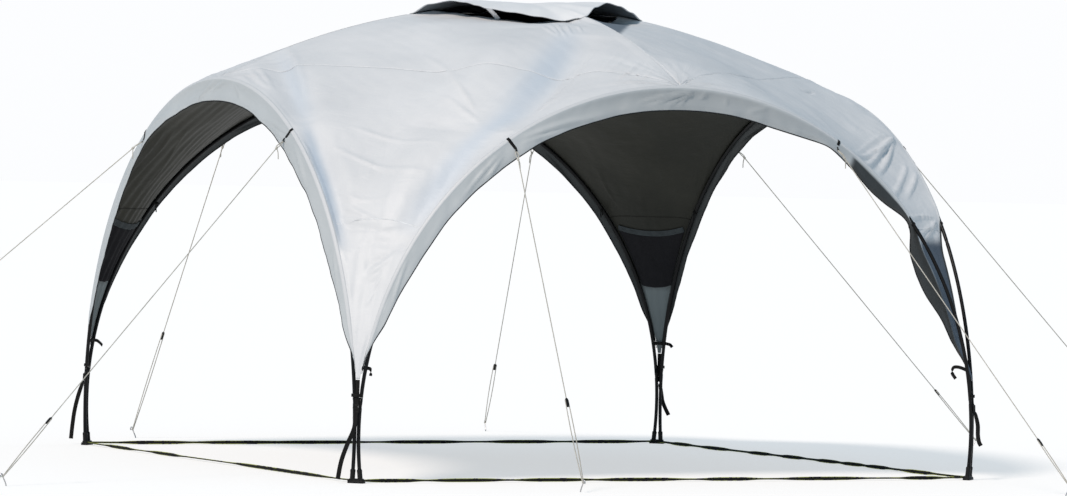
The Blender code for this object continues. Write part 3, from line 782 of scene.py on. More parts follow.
CORNER_GRIDS = ((172, 176), (136, 164), (96, 116), (96, 116))
corners = []
for index, (corner, (columns, rows)) in enumerate(zip(CORNERS, CORNER_GRIDS)):
    def corner_rule(across, along):
        return cloth_points(*corner_shares(across, along), index)
    corners.append(cloth_piece(f"canopy_corner_{corner}", corner_rule, columns, rows, CLOTH, [silver, lining],
                               rim=1, under=corner_shade(index), shares=corner_shares))
print("corner cloths:", len(corners))

# %% [markdown]
# ## The flaps
#
# Along each arch a flap is sewn over the cloth's edge, turns over the pole and hangs down on the
# outside, a little forward. It is widest at the crown and runs out at the tips. It has its own
# pleats: a fan at the crown, and long ones where the tabs pull. They are given by two angles on
# the arch, in degrees from the crown, and two shares down the flap.

# %% Lay the four flaps
FLAP_DROP = 0.112
FLAP_TIP_DROP = 0.010
FLAP_REACH = 0.045
FLAP_CLOTH = 0.0020
SLIPPED = (1, -1, 0, 0)
FLAP_END = 0.985 * TIP_ANGLE
TAB_ANGLE = math.degrees(math.asin(0.95 / ARCH_RADIUS))
PLEATS = {
    0: ((2.6, 0.55, -8.7, 0.80, 0.007, 0.006), (2.4, 0.55, -6.0, 0.86, 0.007, 0.006), (2.2, 0.56, -3.0, 0.92, 0.006, 0.005),
        (2.0, 0.56, -0.5, 0.90, 0.006, 0.005), (5.0, 0.55, 3.6, 0.72, 0.006, 0.005), (8.5, 0.55, 9.0, 0.80, 0.006, 0.004),
        (-31.5, 0.60, -20.0, 0.80, 0.009, 0.006), (-31.0, 0.66, -15.0, 0.92, 0.010, 0.006), (-32.0, 0.72, -24.0, 0.95, 0.009, 0.005),
        (-35.0, 0.60, -46.0, 0.85, 0.009, 0.005), (-35.5, 0.70, -41.0, 0.95, 0.008, 0.005), (33.5, 0.60, 22.0, 0.86, 0.009, 0.005),
        (34.0, 0.70, 27.0, 0.95, 0.009, 0.005), (-60.0, 0.55, -68.0, 0.90, 0.008, 0.004), (17.0, 0.55, 13.0, 0.85, 0.010, 0.004)),
    3: ((-2.0, 0.55, -8.0, 0.95, 0.010, 0.010), (3.0, 0.52, -3.0, 0.80, 0.008, 0.007), (6.0, 0.55, 11.0, 0.85, 0.007, 0.005),
        (31.5, 0.60, 22.0, 0.85, 0.009, 0.005), (33.0, 0.70, 26.0, 0.92, 0.008, 0.005), (35.0, 0.60, 45.0, 0.88, 0.009, 0.005),
        (-31.0, 0.60, -21.0, 0.85, 0.009, 0.005), (-35.0, 0.65, -47.0, 0.90, 0.009, 0.005), (58.0, 0.55, 66.0, 0.85, 0.008, 0.004)),
    1: ((2.0, 0.55, -7.0, 0.85, 0.008, 0.006), (-32.0, 0.60, -22.0, 0.85, 0.009, 0.005), (32.0, 0.60, 22.0, 0.85, 0.009, 0.005),
        (35.0, 0.60, 46.0, 0.88, 0.009, 0.005), (-1.0, 0.55, 6.0, 0.85, 0.007, 0.005)),
    2: ((-2.0, 0.55, 7.0, 0.85, 0.008, 0.006), (-32.0, 0.60, -22.0, 0.85, 0.009, 0.005), (32.0, 0.60, 22.0, 0.85, 0.009, 0.005),
        (-35.0, 0.60, -46.0, 0.88, 0.009, 0.005), (1.0, 0.55, -6.0, 0.85, 0.007, 0.005)),
}


# The flap's widths from its crown to its tips. Inside, two of them are turned up under their poles.
FULL = (FLAP_DROP, 0.106, 0.086, 0.068, FLAP_TIP_DROP)
WIDE = (FLAP_DROP, 0.106, 0.086, 0.074, 0.034)
TURNED_UP = (FLAP_DROP, 0.076, 0.046, 0.038, FLAP_TIP_DROP)
FLAP_WIDTHS = ((FULL, FULL), (FULL, TURNED_UP), (TURNED_UP, TURNED_UP), (WIDE, FULL))


def flap_width(angle, index=0):
    """How far the flap hangs below its pole; a slipped end is pinched by its tie and bellies below."""
    share = np.abs(angle) / TIP_ANGLE
    first, second = (through(share, (0, 0.18, 0.40, 0.68, 1), values) for values in FLAP_WIDTHS[index])
    width = np.where(angle < 0, first, second)
    slipped = SLIPPED[index]
    turn = np.degrees(angle) * slipped
    pinch = 0.80 * np.exp(-((turn - 51.5) / 4.2) ** 2) - 0.75 * np.exp(-((turn - 64.0) / 7.0) ** 2)
    pinch += 0.40 * np.exp(-((turn - 31.0) / 6.0) ** 2) - 0.12 * np.exp(-((turn - 41.0) / 4.0) ** 2)
    return width * (1 - pinch * (slipped != 0))


def flap_points(angle, across, lift=0.0, index=0):
    """across runs round the pole up to a half, and down the free flap beyond."""
    width = flap_width(angle, index)
    reach = FLAP_REACH * (0.35 + 0.65 * width / FLAP_DROP)
    snug = ease((-np.degrees(angle) - 30) / 25) * (index == 3)
    reach = reach - (reach - TUBE_COVER) * 0.9 * snug
    taper = 0.06 + 0.94 * ease((FLAP_END - np.abs(angle)) / math.radians(9))
    start = -0.42
    round_pole = start + (math.pi / 2 - start) * taper * np.clip(across * 2, 0, 1)
    radius = TUBE_COVER + lift + (CLOTH + 0.0004) * (1 - ease((round_pole - 0.05) / 0.5))
    over = arch_points(angle, radius * np.cos(round_pole), radius * np.sin(round_pole))
    hang = np.clip(across * 2 - 1, 0, 1)
    crown = 1 - ease((np.abs(angle) - math.radians(12)) / math.radians(20))
    forward = (reach - TUBE_COVER) * (1 - 0.62 * crown) * np.sin(hang * math.pi / 2)
    forward -= 0.011 * (0.35 + 0.65 * crown) * np.sin(np.pi * np.clip(hang / 0.75, 0, 1)) * width / FLAP_DROP * (1 - snug)
    return over + arch_points(angle, -width * hang * taper, forward * taper) - arch_points(angle)


def flap_rule(index):
    """The real flap of a side: loose, pleated and slipped where the corner is."""
    def rule(across, along, out=0.0):
        angle = FLAP_END * (1 - 2 * across)
        place = flap_points(angle, along, out, index)
        flat = np.stack((ARCH_RADIUS * angle, flap_width(angle, index) * (along - 0.5) * 2), axis=-1)
        loose = ease((along - 0.5) / 0.5) * (1 - 0.75 * ease((-np.degrees(angle) - 15) / 15) * (index == 3))
        wave = swell(place * np.array((1, 1, 0.35)), 40 + index, 0.17, 0.0042) * loose
        wave += swell(place, 44 + index, 0.06, 0.0008) * ease((along - 0.48) / 0.1)
        for a0, s0, a1, s1, width, height in PLEATS[index]:
            ends = np.radians((a0, a1))
            line = np.stack((ARCH_RADIUS * ends, flap_width(ends, index) * (np.array((s0, s1)) - 0.5) * 2), axis=-1)
            wave += stroke(flat, line, width, height * 1.7) * ease((along - 0.45) / 0.1)
        place = place - np.array((0, 1, 0)) * wave[..., None]
        return settled(turned(place, index))
    return rule


CROWN_SHADE = 0.26


def flap_lining_and_shade(index):
    """Where a flap shows its lining, painted shade under the front crown, and below nought a painted lighter band over
    its pole.
    """
    def rule(across, along):
        from_crown = np.degrees(FLAP_END * (1 - 2 * across))
        angle = from_crown * SLIPPED[index]
        free = ease((along - 0.5) / 0.06)
        slack = ease((angle - 50) / 3)
        lining_out = 0.98 * ease((angle - 34.5) / 1.5) * np.maximum(ease((along - 0.56) / 0.03), slack)
        # Painted shade under the front flap's crown.
        crown_shade = CROWN_SHADE * np.exp(-((from_crown - 8) / 30) ** 2) * free * (index == 0)
        # Below nought: a painted lighter band where the flap lies over its pole.
        return np.maximum(lining_out, crown_shade) - ease((0.47 - along) / 0.05) * (1 - slack)
    return rule


flaps = []
FLAP_COLUMNS = (400, 330, 290, 400)
for index, side in enumerate(SIDES):
    flaps.append(cloth_piece(f"canopy_flap_{side}", flap_rule(index), FLAP_COLUMNS[index], 26, FLAP_CLOTH, [flap_cloth_painted_shade, flap_lining], rim=1,
                             under=flap_lining_and_shade(index)))
print("flaps:", len(flaps))

# %% [markdown]
# ## The vent
#
# A net closes the hole in the roof, and a square cap stands over it, sewn down at the four ridges.
# Between them its edges stand up, so that warm air gets out and rain stays off. The edge at the
# front left is held by a white tape in its middle, and the one at the front right stands up like a
# hood. Each edge has its own line of heights, from one ridge to the next.

# %% Lay the vent's net and its cap
CAP_SHARE = 0.68 / HALF_SIDE
CAP_EDGES = {
    "front_left": ((0, 0.11, 0.23, 0.31, 0.38, 0.44, 0.58, 0.73, 0.87, 0.97, 1),
                   (0, 0.048, 0.065, 0.057, 0.042, 0.026, 0.009, -0.010, -0.028, -0.010, 0)),
    "front_right": ((0, 0.18, 0.40, 0.62, 0.82, 1), (0, 0.046, 0.072, 0.060, 0.034, 0)),
    "back_right": ((0, 0.25, 0.50, 0.75, 1), (0, 0.002, 0.004, 0.003, 0)),
    "back_left": ((0, 0.25, 0.50, 0.75, 1), (0, 0.002, 0.003, 0.002, 0)),
}


def whole_roof(x, y):
    """The inner face of the taut cloth over all four quarters."""
    base = canopy_points(np.abs(y), np.abs(x))
    return points(np.copysign(base[..., 0], x), np.copysign(base[..., 1], y), base[..., 2])


def net_rule(across, along):
    """The net sags a little in the vent."""
    a, b = across * 2 - 1, along * 2 - 1
    x, y = (a - b) / 2 * (VENT_SHARE + 0.004), (a + b) / 2 * (VENT_SHARE + 0.004)
    place = whole_roof(x, y)
    quarters = ((x <= 0) & (y < 0), (x > 0) & (y <= 0), (x >= 0) & (y > 0))
    first = np.select(quarters, (-y, x, y), -x)
    second = np.select(quarters, (-x, -y, x), y)
    reach = (np.abs(x) + np.abs(y)) / VENT_SHARE
    slack = vent_sag(first, second, np.select(quarters, (0, 1, 2), 3)) * ease(reach)
    place[..., 2] -= 0.003 + slack + 0.034 * (1 - np.minimum(reach, 1) ** 4)
    return place


def cap_rule(across, along, out=0.0):
    """A square on its corner, lifted between the ridges."""
    a, b = across * 2 - 1, along * 2 - 1
    x, y = (a - b) / 2, (a + b) / 2
    place = whole_roof(x * CAP_SHARE, y * CAP_SHARE)
    reach = np.maximum(np.abs(a), np.abs(b))
    size = np.maximum(reach, 1e-6)
    lift = np.where(-a >= reach - 1e-9, through((1 - b / size) / 2, *CAP_EDGES["front_left"]), 0.0)
    lift = np.where(-b >= reach - 1e-9, through((1 + a / size) / 2, *CAP_EDGES["front_right"]), lift)
    lift = np.where(a >= reach - 1e-9, through((1 + b / size) / 2, *CAP_EDGES["back_right"]), lift)
    lift = np.where(b >= reach - 1e-9, through((1 - a / size) / 2, *CAP_EDGES["back_left"]), lift)
    fold = swell(place, 71, 0.16, 0.0016) * (1 - reach ** 6)
    place[..., 2] += CLOTH + 0.0006 + 0.012 * (1 - reach ** 2) + lift * reach ** 1.6 + fold + out
    return place


vent_net = cloth_piece("vent_net_cloth", net_rule, 40, 40, 0.0015, [net_black])
cap = cloth_piece("vent_cap_cloth", cap_rule, 96, 96, CLOTH, [cap_cloth_painted_light, cap_lining_painted_bounce])
print("cap faces:", len(cap.data.polygons))

# %% [markdown]
# ## The corner nets
#
# A fine black net is sewn inside each corner, at the height of a person's chest. It lies close to
# the cloth, with a curved upper hem and small slack folds.

# %% Lay the corner nets
NET_TOP = 1.16
NET_BOTTOM = 0.88


def reach_at(height):
    """How far down the corner cloth its middle comes to a height."""
    shares = np.linspace(1.0, 1.95, 400)
    heights = canopy_points(shares / 2, shares / 2)[:, 2]
    return np.interp(-np.asarray(height), -heights, shares)


def net_shares(across, along):
    """The net's place on the corner, as shares along the two ridges."""
    top = reach_at(NET_TOP + 0.010 * np.sin(np.pi * across))
    reach = top + (reach_at(NET_BOTTOM) - top) * along
    side = 0.035 + 0.93 * across
    return reach - 1 + (2 - reach) * (1 - side), reach - 1 + (2 - reach) * side


nets = []
for index, corner in enumerate(CORNERS):
    def corner_net_rule(across, along):
        u, v = net_shares(across, along)
        place = cloth_points(u, v, index)
        slack = np.sin(np.pi * across) * np.sin(np.pi * along) ** 0.5
        inwards = 0.0032 + 0.0045 * slack + swell(place, 80 + index, 0.10, 0.0012) * slack
        return place + turned(inwards[..., None] * np.array((0.7, 0.7, 0.0)), index)
    nets.append(cloth_piece(f"corner_net_cloth_{corner}", corner_net_rule, 44, 30, 0.0012, [net_black]))
print("nets:", len(nets) + 1)

# %% [markdown]
# ## Seams and hems
#
# Panels of cloth are joined by flat seams, which show as narrow tapes with two rows of stitches:
# silver outside, dark inside. They run along the four ridges, from crown to crown, and across each
# corner, where short ties hold the cloth to the poles. The free edge of every flap is bound with a
# thin dark tape.

# %% Seam tapes and hem bindings
TAPE = 0.0003


def seam(bm, name_of_line, steps, half_width, index):
    """A tape on both faces of the cloth, along a line of shares on one quarter."""
    u, v = name_of_line(np.linspace(0, 1, steps))
    normal = turned(outward(u, v), index)
    outer = cloth_points(u, v, index, CLOTH + TAPE)
    inner = cloth_points(u, v, index, -TAPE * 2)
    across = np.cross(normal, np.gradient(outer, axis=0))
    wrap(bm, outer, across, half_width, TAPE, sides=8, power=4.0, look=0)
    wrap(bm, inner, across, half_width, TAPE, sides=8, power=4.0, look=1)


def crown_seam(t):
    """From the front crown to the left crown."""
    return 1 - t, t


def ridge_seam(t):
    """Along the front ridge, from under the cap to the crown."""
    share = 0.40 + 0.59 * t
    return share, 0 * share


def tie_seam(t):
    """Across the corner, where the ties are."""
    return corner_shares(t, 0.665 - 0.16 * t * (1 - t))


crown_tapes, tie_tapes, ridge_tapes = bmesh.new(), bmesh.new(), bmesh.new()
for index in range(4):
    seam(crown_tapes, crown_seam, 160, 0.0032, index)
    seam(tie_tapes, tie_seam, 80, 0.0028, index)
    seam(ridge_tapes, ridge_seam, 70, 0.0028, index)
crown_seams = hard_piece("seams_crown_to_crown", crown_tapes, [seam_tape, lining_tape])
tie_seams = hard_piece("seams_across_corners", tie_tapes, [seam_tape, lining_tape])
ridge_seams = hard_piece("seams_along_ridges", ridge_tapes, [seam_tape, lining_tape])



def net_hem(t):
    """Just above the net, where a wide tape carries it."""
    reach = reach_at(NET_TOP + 0.016 + 0.010 * np.sin(np.pi * t))
    side = 0.06 + 0.88 * t
    return reach - 1 + (2 - reach) * (1 - side), reach - 1 + (2 - reach) * side


net_hems = []
for index, corner in enumerate(CORNERS):
    u, v = net_hem(np.linspace(0, 1, 50))
    path = cloth_points(u, v, index, -0.0050)
    bm = bmesh.new()
    wrap(bm, path, np.cross(turned(outward(u, v), index), np.gradient(path, axis=0)), 0.018, TAPE, sides=12, power=6.0)
    net_hems.append(hard_piece(f"hem_of_net_{corner}", bm, [net_hem_tape]))

flap_hems = []
for index, side in enumerate(SIDES):
    share = np.linspace(0.003, 0.997, 420)
    edge = flap_rule(index)(share, np.full(420, 0.992), FLAP_CLOTH / 2)
    above = flap_rule(index)(share, np.full(420, 0.95), FLAP_CLOTH / 2)
    bm = bmesh.new()
    wrap(bm, edge, edge - above, 0.0032, 0.0019, sides=8, power=3.0)
    flap_hems.append(hard_piece(f"hem_of_flap_{side}", bm, [hem_tape]))
bm = bmesh.new()
for k, edge_name in enumerate(CAP_EDGES):
    t = np.linspace(-0.999, 0.999, 110)
    one = np.ones(110)
    a, b = ((-one, -t), (t, -one), (one, t), (-t, one))[k]
    edge = cap_rule((a + 1) / 2, (b + 1) / 2, CLOTH / 2)
    inside = cap_rule((a * 0.97 + 1) / 2, (b * 0.97 + 1) / 2, CLOTH / 2)
    wrap(bm, edge, edge - inside, 0.0050, 0.0021, sides=8, power=3.0)
cap_hem = hard_piece("hem_of_cap", bm, [seam_tape])
print("seam and hem pieces:", 4 + len(flap_hems))

# %% [markdown]
# ## Ties
#
# Short black ties hold the cloth to the poles at both ends of each corner seam. Each is a flat
# loop round the pole with a small knot and two ends. A white tape holds the cap's front left edge
# down to the roof.

# %% Tie the cloth to the poles
def ring(centre, normal, radius, steps=28):
    """A closed circle of points round a line."""
    normal = unit(np.asarray(normal, float))
    first = unit(np.cross(normal, (0.31, 0.52, 0.79)))
    second = np.cross(normal, first)
    turn = np.linspace(0, 2 * math.pi, steps)[:, None]
    return np.asarray(centre) + radius * (np.cos(turn) * first + np.sin(turn) * second)


def tie(bm, centre, pull, radius=0.0118, tail=0.035):
    """A flat loop round a pole, a knot and two hanging ends."""
    pull = unit(np.asarray(pull, float))
    wrap(bm, ring(centre, pull, radius), pull, 0.0055, 0.0009, sides=8, power=4.0)
    knot = np.asarray(centre) - unit(np.asarray(centre) * (1, 1, 0)) * (radius + 0.006)
    bead = knot + np.linspace(-0.006, 0.006, 9)[:, None] * pull
    wrap(bm, bead, (0, 0, 1), 0.0055 * np.sqrt(1 - np.linspace(-0.97, 0.97, 9) ** 2), sides=10)
    for hand in (-1, 1):
        end = knot + hand * 0.006 * pull
        drop = [end, end + (0, 0, -tail * 0.4) + hand * 0.004 * pull, end + (0, 0, -tail * (1.0 + 0.3 * hand))]
        wrap(bm, smooth_path(drop, 6), pull, 0.0035, 0.0008, sides=8, power=4.0)


bm = bmesh.new()
TIE_HEIGHT = 1.312
tie_angle = math.acos((TIE_HEIGHT - ARCH_CENTRE) / ARCH_RADIUS)
for index in range(4):
    for hand in (-1, 1):
        here = arch_points(np.array(hand * tie_angle))
        direction = points(math.cos(tie_angle), 0.0, -hand * math.sin(tie_angle))
        tie(bm, turned(here, index), turned(direction, index))
corner_ties = hard_piece("ties_of_corners", bm, [webbing])

bm = bmesh.new()
top = cap_rule(np.array([0.002]), np.array([0.555]))[0]
low = cloth_points(np.array([0.147]), np.array([0.170]), 0, CLOTH + 0.002)[0]
middle = (top + low) / 2 + np.array((-0.004, -0.004, 0.004))
wrap(bm, smooth_path([top, middle, low], 8), (1, -1, 0), 0.016, 0.0006, sides=8, power=4.0)
cap_tape = hard_piece("vent_cap_tape", bm, [white_tape])
print("ties:", 8, "and one tape")

# %% [markdown]
# ## The poles
#
# Each arch is made of short steel tubes that slide into each other. At every joint the thinner end
# shows for a few millimetres, and a spring button snaps into a hole. The tube is one closed tube
# whose radius follows those joints, so that it catches the light where a real one does.

# %% Bend the arches and add their legs
TUBE_RADIUS = 0.0095
LEG_JOINT = math.acos((0.42 - ARCH_CENTRE) / ARCH_RADIUS)
FOOT_ANGLE = math.acos((0.0265 - ARCH_CENTRE) / ARCH_RADIUS)
BOW_JOINTS = [math.radians(a) for a in (-56.0, -28.0, 0.0, 28.0, 56.0)]


def tube_radius(angle, joints, base=TUBE_RADIUS):
    """The radius along a jointed tube: a rolled lip, then a narrower neck."""
    radius = np.full(len(angle), base)
    for joint in joints:
        way = (angle - joint) * ARCH_RADIUS
        radius -= 0.0011 * ease((way + 0.0010) / 0.0012) * ease((0.022 - way) / 0.006)
        radius += 0.0004 * ease((way + 0.0045) / 0.002) * ease((-0.0008 - way) / 0.0012)
    return radius


def stations(start, end, joints, spacing=0.022):
    """Angles along a tube, close together at its joints."""
    angles = list(np.linspace(start, end, max(int(abs(end - start) * ARCH_RADIUS / spacing), 8)))
    for joint in joints:
        angles += [joint + way / ARCH_RADIUS for way in (-0.008, -0.0045, -0.0035, -0.0025, -0.001, 0.0002, 0.002, 0.010, 0.016, 0.019, 0.022)]
    return np.array(sorted(angle for angle in set(angles) if min(start, end) <= angle <= max(start, end)))


def button(bm, angle, side_step, radius=0.0031):
    """A small domed spring button on a tube."""
    place = arch_points(np.array(angle)) + side_step
    out = unit(np.asarray(side_step, float))
    way = np.linspace(-0.0010, 0.0026, 9)
    size = radius * np.sqrt(np.clip(1 - (way / 0.0028) ** 2, 0.02, 1))
    wrap(bm, place + way[:, None] * out, (0, 0, 1) if abs(out[2]) < 0.9 else (1, 0, 0), size, sides=12)


bows, legs = [], []
for index, side in enumerate(SIDES):
    turn = Matrix.Rotation(index * math.pi / 2, 4, "Z")
    bm = bmesh.new()
    angles = stations(-LEG_JOINT + 0.0002, LEG_JOINT - 0.0002, BOW_JOINTS)
    wrap(bm, arch_points(angles), (0, 1, 0), tube_radius(angles, BOW_JOINTS), sides=20)
    for joint in BOW_JOINTS:
        button(bm, joint - 0.012 / ARCH_RADIUS, (0.0, 0.0085, 0.0))
    bmesh.ops.transform(bm, matrix=turn, verts=bm.verts)
    bows.append(hard_piece(f"tube_of_{side}_arch", bm, [black_paint]))
    for name, hand in (("left", -1), ("right", 1)):
        bm = bmesh.new()
        start, end = hand * (LEG_JOINT + 0.0002), hand * FOOT_ANGLE
        joints = [hand * (LEG_JOINT + 0.006)] if hand > 0 else [-(LEG_JOINT + 0.030)]
        angles = stations(start, end, joints)
        radius = tube_radius(angles, joints)
        wrap(bm, arch_points(angles), (0, 1, 0), radius, sides=20)
        for drop in (0.050, 0.100):
            button(bm, hand * (LEG_JOINT + drop / ARCH_RADIUS), (0.0, -0.0085, 0.0))
        bmesh.ops.transform(bm, matrix=turn, verts=bm.verts)
        legs.append(hard_piece(f"leg_{side}_arch_{name}", bm, [black_paint]))
print("tubes:", len(bows) + len(legs))

# %% [markdown]
# ## The ridge poles
#
# The two poles over the middle are thin glass fibre rods in steel sleeves. They bend by themselves,
# so they stay one smooth arc. Where two rods meet, a sleeve makes the pole a little thicker.

# %% Bend the ridge poles
POLE_RADIUS = 0.0055
POLE_END = HALF_SIDE - TUBE_RADIUS - 0.0003 - 0.001


def ridge_pole_points(reach, top):
    """The arc of a ridge pole, which butts against the two crowns."""
    drop = top - (ARCH_CENTRE + ARCH_RADIUS)
    radius = (POLE_END ** 2 + drop ** 2) / (2 * drop)
    return points(0 * reach, reach, top - radius + np.sqrt(radius ** 2 - reach ** 2))


UPPER_POLE = ROOF_HEIGHT - POLE_RADIUS - 0.0008
ridge_poles = []
for name, top, index in (("front_to_back", UPPER_POLE, 0), ("left_to_right", UPPER_POLE - 2 * POLE_RADIUS - 0.0003, 1)):
    bm = bmesh.new()
    lips = [place + way for place in (-1.10, -0.48, 0.48, 1.10) for way in (-0.0455, -0.0445, -0.043, 0.043, 0.0445, 0.0455)]
    reach = np.array(sorted(list(np.linspace(-POLE_END, POLE_END, 140)) + lips))
    thick = np.full(len(reach), POLE_RADIUS - 0.0007)
    for place in (-1.10, -0.48, 0.48, 1.10):
        thick += 0.0007 * ease((0.0452 - np.abs(reach - place)) / 0.001)
    thick += 0.0007 * ease((np.abs(reach) - POLE_END + 0.05) / 0.002)
    path = ridge_pole_points(reach, top)
    wrap(bm, turned(path, index), turned(points(1.0, 0.0, 0.0), index), thick, sides=16)
    ridge_poles.append(hard_piece(f"rod_{name}", bm, [fibre]))
print("ridge poles:", len(ridge_poles))

# %% [markdown]
# ## The feet
#
# Under each corner one moulded block takes both legs. It has a flat sole, two sockets that lean
# with the legs, a web between them, and a bar on either side that the ground straps go round. The
# block starts as a cube, and its top is inset and drawn up before the edges are bevelled.

# %% Mould the feet
FOOT_MIDDLE = (HALF_SIDE + ARCH_RADIUS * math.sin(math.acos(-ARCH_CENTRE / ARCH_RADIUS))) / 2


def foot_block():
    """The front left foot."""
    bm = bmesh.new()
    place = Matrix.Translation((-FOOT_MIDDLE, -FOOT_MIDDLE, 0.0)) @ Matrix.Rotation(-math.pi / 4, 4, "Z")
    sole = place @ Matrix.Translation((0, 0, 0.0055)) @ Matrix.Diagonal((0.082, 0.037, 0.011, 1.0))
    bmesh.ops.create_cube(bm, size=1.0, matrix=sole)
    bm.faces.ensure_lookup_table()
    top = max(bm.faces, key=lambda face: face.calc_center_median().z)
    bmesh.ops.inset_individual(bm, faces=[top], thickness=0.005, use_even_offset=True)
    raised = bmesh.ops.extrude_face_region(bm, geom=[top])["geom"]
    bmesh.ops.delete(bm, geom=[top], context="FACES_ONLY")
    corners_up = [item for item in raised if isinstance(item, bmesh.types.BMVert)]
    bmesh.ops.translate(bm, verts=corners_up, vec=(0, 0, 0.012))
    bmesh.ops.bevel(bm, geom=list(bm.edges), offset=0.0022, affect="EDGES", segments=3, profile=0.5, material=-1)
    for leg in (arch_points(np.linspace(-FOOT_ANGLE - 0.006, -FOOT_ANGLE + 0.024, 14)), mirrored(arch_points(np.linspace(-FOOT_ANGLE - 0.006, -FOOT_ANGLE + 0.024, 14)))):
        thick = np.full(14, 0.0126)
        thick[-2:] = (0.0132, 0.0120)
        thick[-4:-2] = 0.0132
        wrap(bm, leg, (1, -1, 0), thick, sides=20)
    for hand in (-1, 1):
        side = np.array((hand, -hand, 0.0)) / math.sqrt(2)
        middle = np.array((-FOOT_MIDDLE, -FOOT_MIDDLE, 0.012)) + side * 0.039
        bar = middle + np.linspace(-0.016, 0.016, 6)[:, None] * np.array((1, 1, 0)) / math.sqrt(2)
        wrap(bm, bar, (0, 0, 1), 0.0030, sides=10)
    return bm


feet = []
for index, corner in enumerate(CORNERS):
    bm = foot_block()
    bmesh.ops.transform(bm, matrix=Matrix.Rotation(index * math.pi / 2, 4, "Z"), verts=bm.verts)
    feet.append(hard_piece(f"moulded_foot_{corner}", bm, [plastic]))
print("feet:", len(feet))

# %% [markdown]
# ## Ground straps
#
# Flat webbing ties each foot to the next, so the poles can't spread. It isn't tight enough to lie
# flat: it twists on its way, which shows its edge in one place and its face in the next.

# %% Lay the ground straps
STRAP_THICKNESS = 0.002
STRAP_HEIGHT = 0.0130
STRAP_START = FOOT_MIDDLE - 0.036 / math.sqrt(2) - STRAP_THICKNESS / 2 - 0.0003 * math.sqrt(2)
# Where each strap stands on its edge: the share along it, and how long the turn is.
STANDS = {
    0: ((0.05, 0.04), (0.17, 0.05), (0.31, 0.05), (0.45, 0.06), (0.60, 0.04), (0.76, 0.06), (0.93, 0.03)),
    1: ((0.14, 0.04), (0.27, 0.03), (0.35, 0.03), (0.43, 0.03), (0.545, 0.03), (0.65, 0.03), (0.80, 0.04), (0.92, 0.03)),
    2: ((0.09, 0.05), (0.24, 0.05), (0.42, 0.06), (0.61, 0.07), (0.745, 0.06), (0.89, 0.05)),
    3: ((0.13, 0.05), (0.31, 0.05), (0.66, 0.08), (0.80, 0.10)),
}
LEAN, UPRIGHT = math.radians(24), math.radians(62)
ground_straps = []
for index, side in enumerate(SIDES):
    share = np.linspace(0, 1, 260)
    stands = sum(np.exp(-((share - middle) / length) ** 4) for middle, length in STANDS[index])
    twist = LEAN + (UPRIGHT - LEAN) * np.minimum(stands, 1)
    free = ease(share / 0.05) * ease((1 - share) / 0.05)
    path = points(-STRAP_START + 2 * STRAP_START * share, -FOOT_MIDDLE + 0.006 * np.sin(share * 9.0 + index) * free, STRAP_HEIGHT - 0.0012 * free)
    across = points(0.0, -np.cos(twist), np.sin(twist))
    bm = bmesh.new()
    wrap(bm, turned(path, index), turned(across, index), STRAP_WIDTH / 2, 0.0008, sides=12, power=5.0)
    ground_straps.append(hard_piece(f"webbing_{side}", bm, [ground_webbing]))
print("ground straps:", len(ground_straps))

# %% [markdown]
# ## Tip straps
#
# At each tip the cloth ends in a strap that goes down the two poles to a ladder buckle, which
# pulls the whole canopy tight. The loose end hangs outside. No two hang alike, so each corner has
# its own lengths.

# %% Hang the tip straps
TAILS = {
    "front_left": ((0.028, 0.000, 0.270), (0.040, 0.030, 0.190), (0.052, 0.055, 0.110), (0.050, 0.075, 0.020)),
    "front_right": ((0.026, 0.010, 0.285), (0.030, 0.020, 0.235), (0.040, 0.032, 0.200), (0.052, 0.034, 0.180)),
    "back_right": ((0.016, 0.008, 0.285), (0.016, 0.016, 0.240), (0.024, 0.030, 0.200), (0.042, 0.046, 0.160)),
    "back_left": ((0.034, 0.000, 0.270), (0.056, 0.004, 0.190), (0.072, 0.008, 0.110), (0.086, 0.010, 0.030)),
}

# A band draws the two legs together inside each tip. Its loose end hangs out.
BAND_HEIGHT = 0.566
LOOSE_ENDS = {
    "front_left": ((-0.019, -0.052, 0.562), (-0.018, -0.058, 0.548), (-0.018, -0.057, 0.528)),
    "front_right": ((-0.045, 0.045, 0.580), (-0.080, 0.034, 0.578), (-0.092, 0.030, 0.550), (-0.076, 0.030, 0.520)),
    "back_right": ((-0.021, 0.056, 0.564), (-0.022, 0.072, 0.560), (-0.022, 0.084, 0.546)),
    "back_left": ((-0.024, 0.056, 0.562), (-0.032, 0.080, 0.550), (-0.038, 0.104, 0.536)),
}


def outside(distance, sideways, height):
    """By the two legs of the front left corner, outwards and to a side of them."""
    leg = ARCH_RADIUS * math.sin(math.acos((height - ARCH_CENTRE) / ARCH_RADIUS))
    middle = (HALF_SIDE + leg) / 2 + (TUBE_RADIUS + 0.0003 + distance) / math.sqrt(2)
    return np.array((-middle - sideways / math.sqrt(2), -middle + sideways / math.sqrt(2), height))


def buckle(bm, top, bottom, across, look):
    """A ladder buckle: two side bars and three rungs."""
    top, bottom, across = np.asarray(top), np.asarray(bottom), unit(np.asarray(across, float))
    down = unit(bottom - top)
    for hand in (-1, 1):
        rail = smooth_path([top + across * hand * 0.0135, bottom + across * hand * 0.0135], 8)
        wrap(bm, rail, across, 0.0022, 0.0030, sides=12, power=3.0, look=look)
    length = float(np.linalg.norm(bottom - top))
    for share in (0.06, 0.5, 0.94):
        middle = top + down * length * share
        rung = middle + np.linspace(-0.0135, 0.0135, 8)[:, None] * across
        wrap(bm, rung, down, 0.0030, 0.0024, sides=12, power=2.5, look=look)


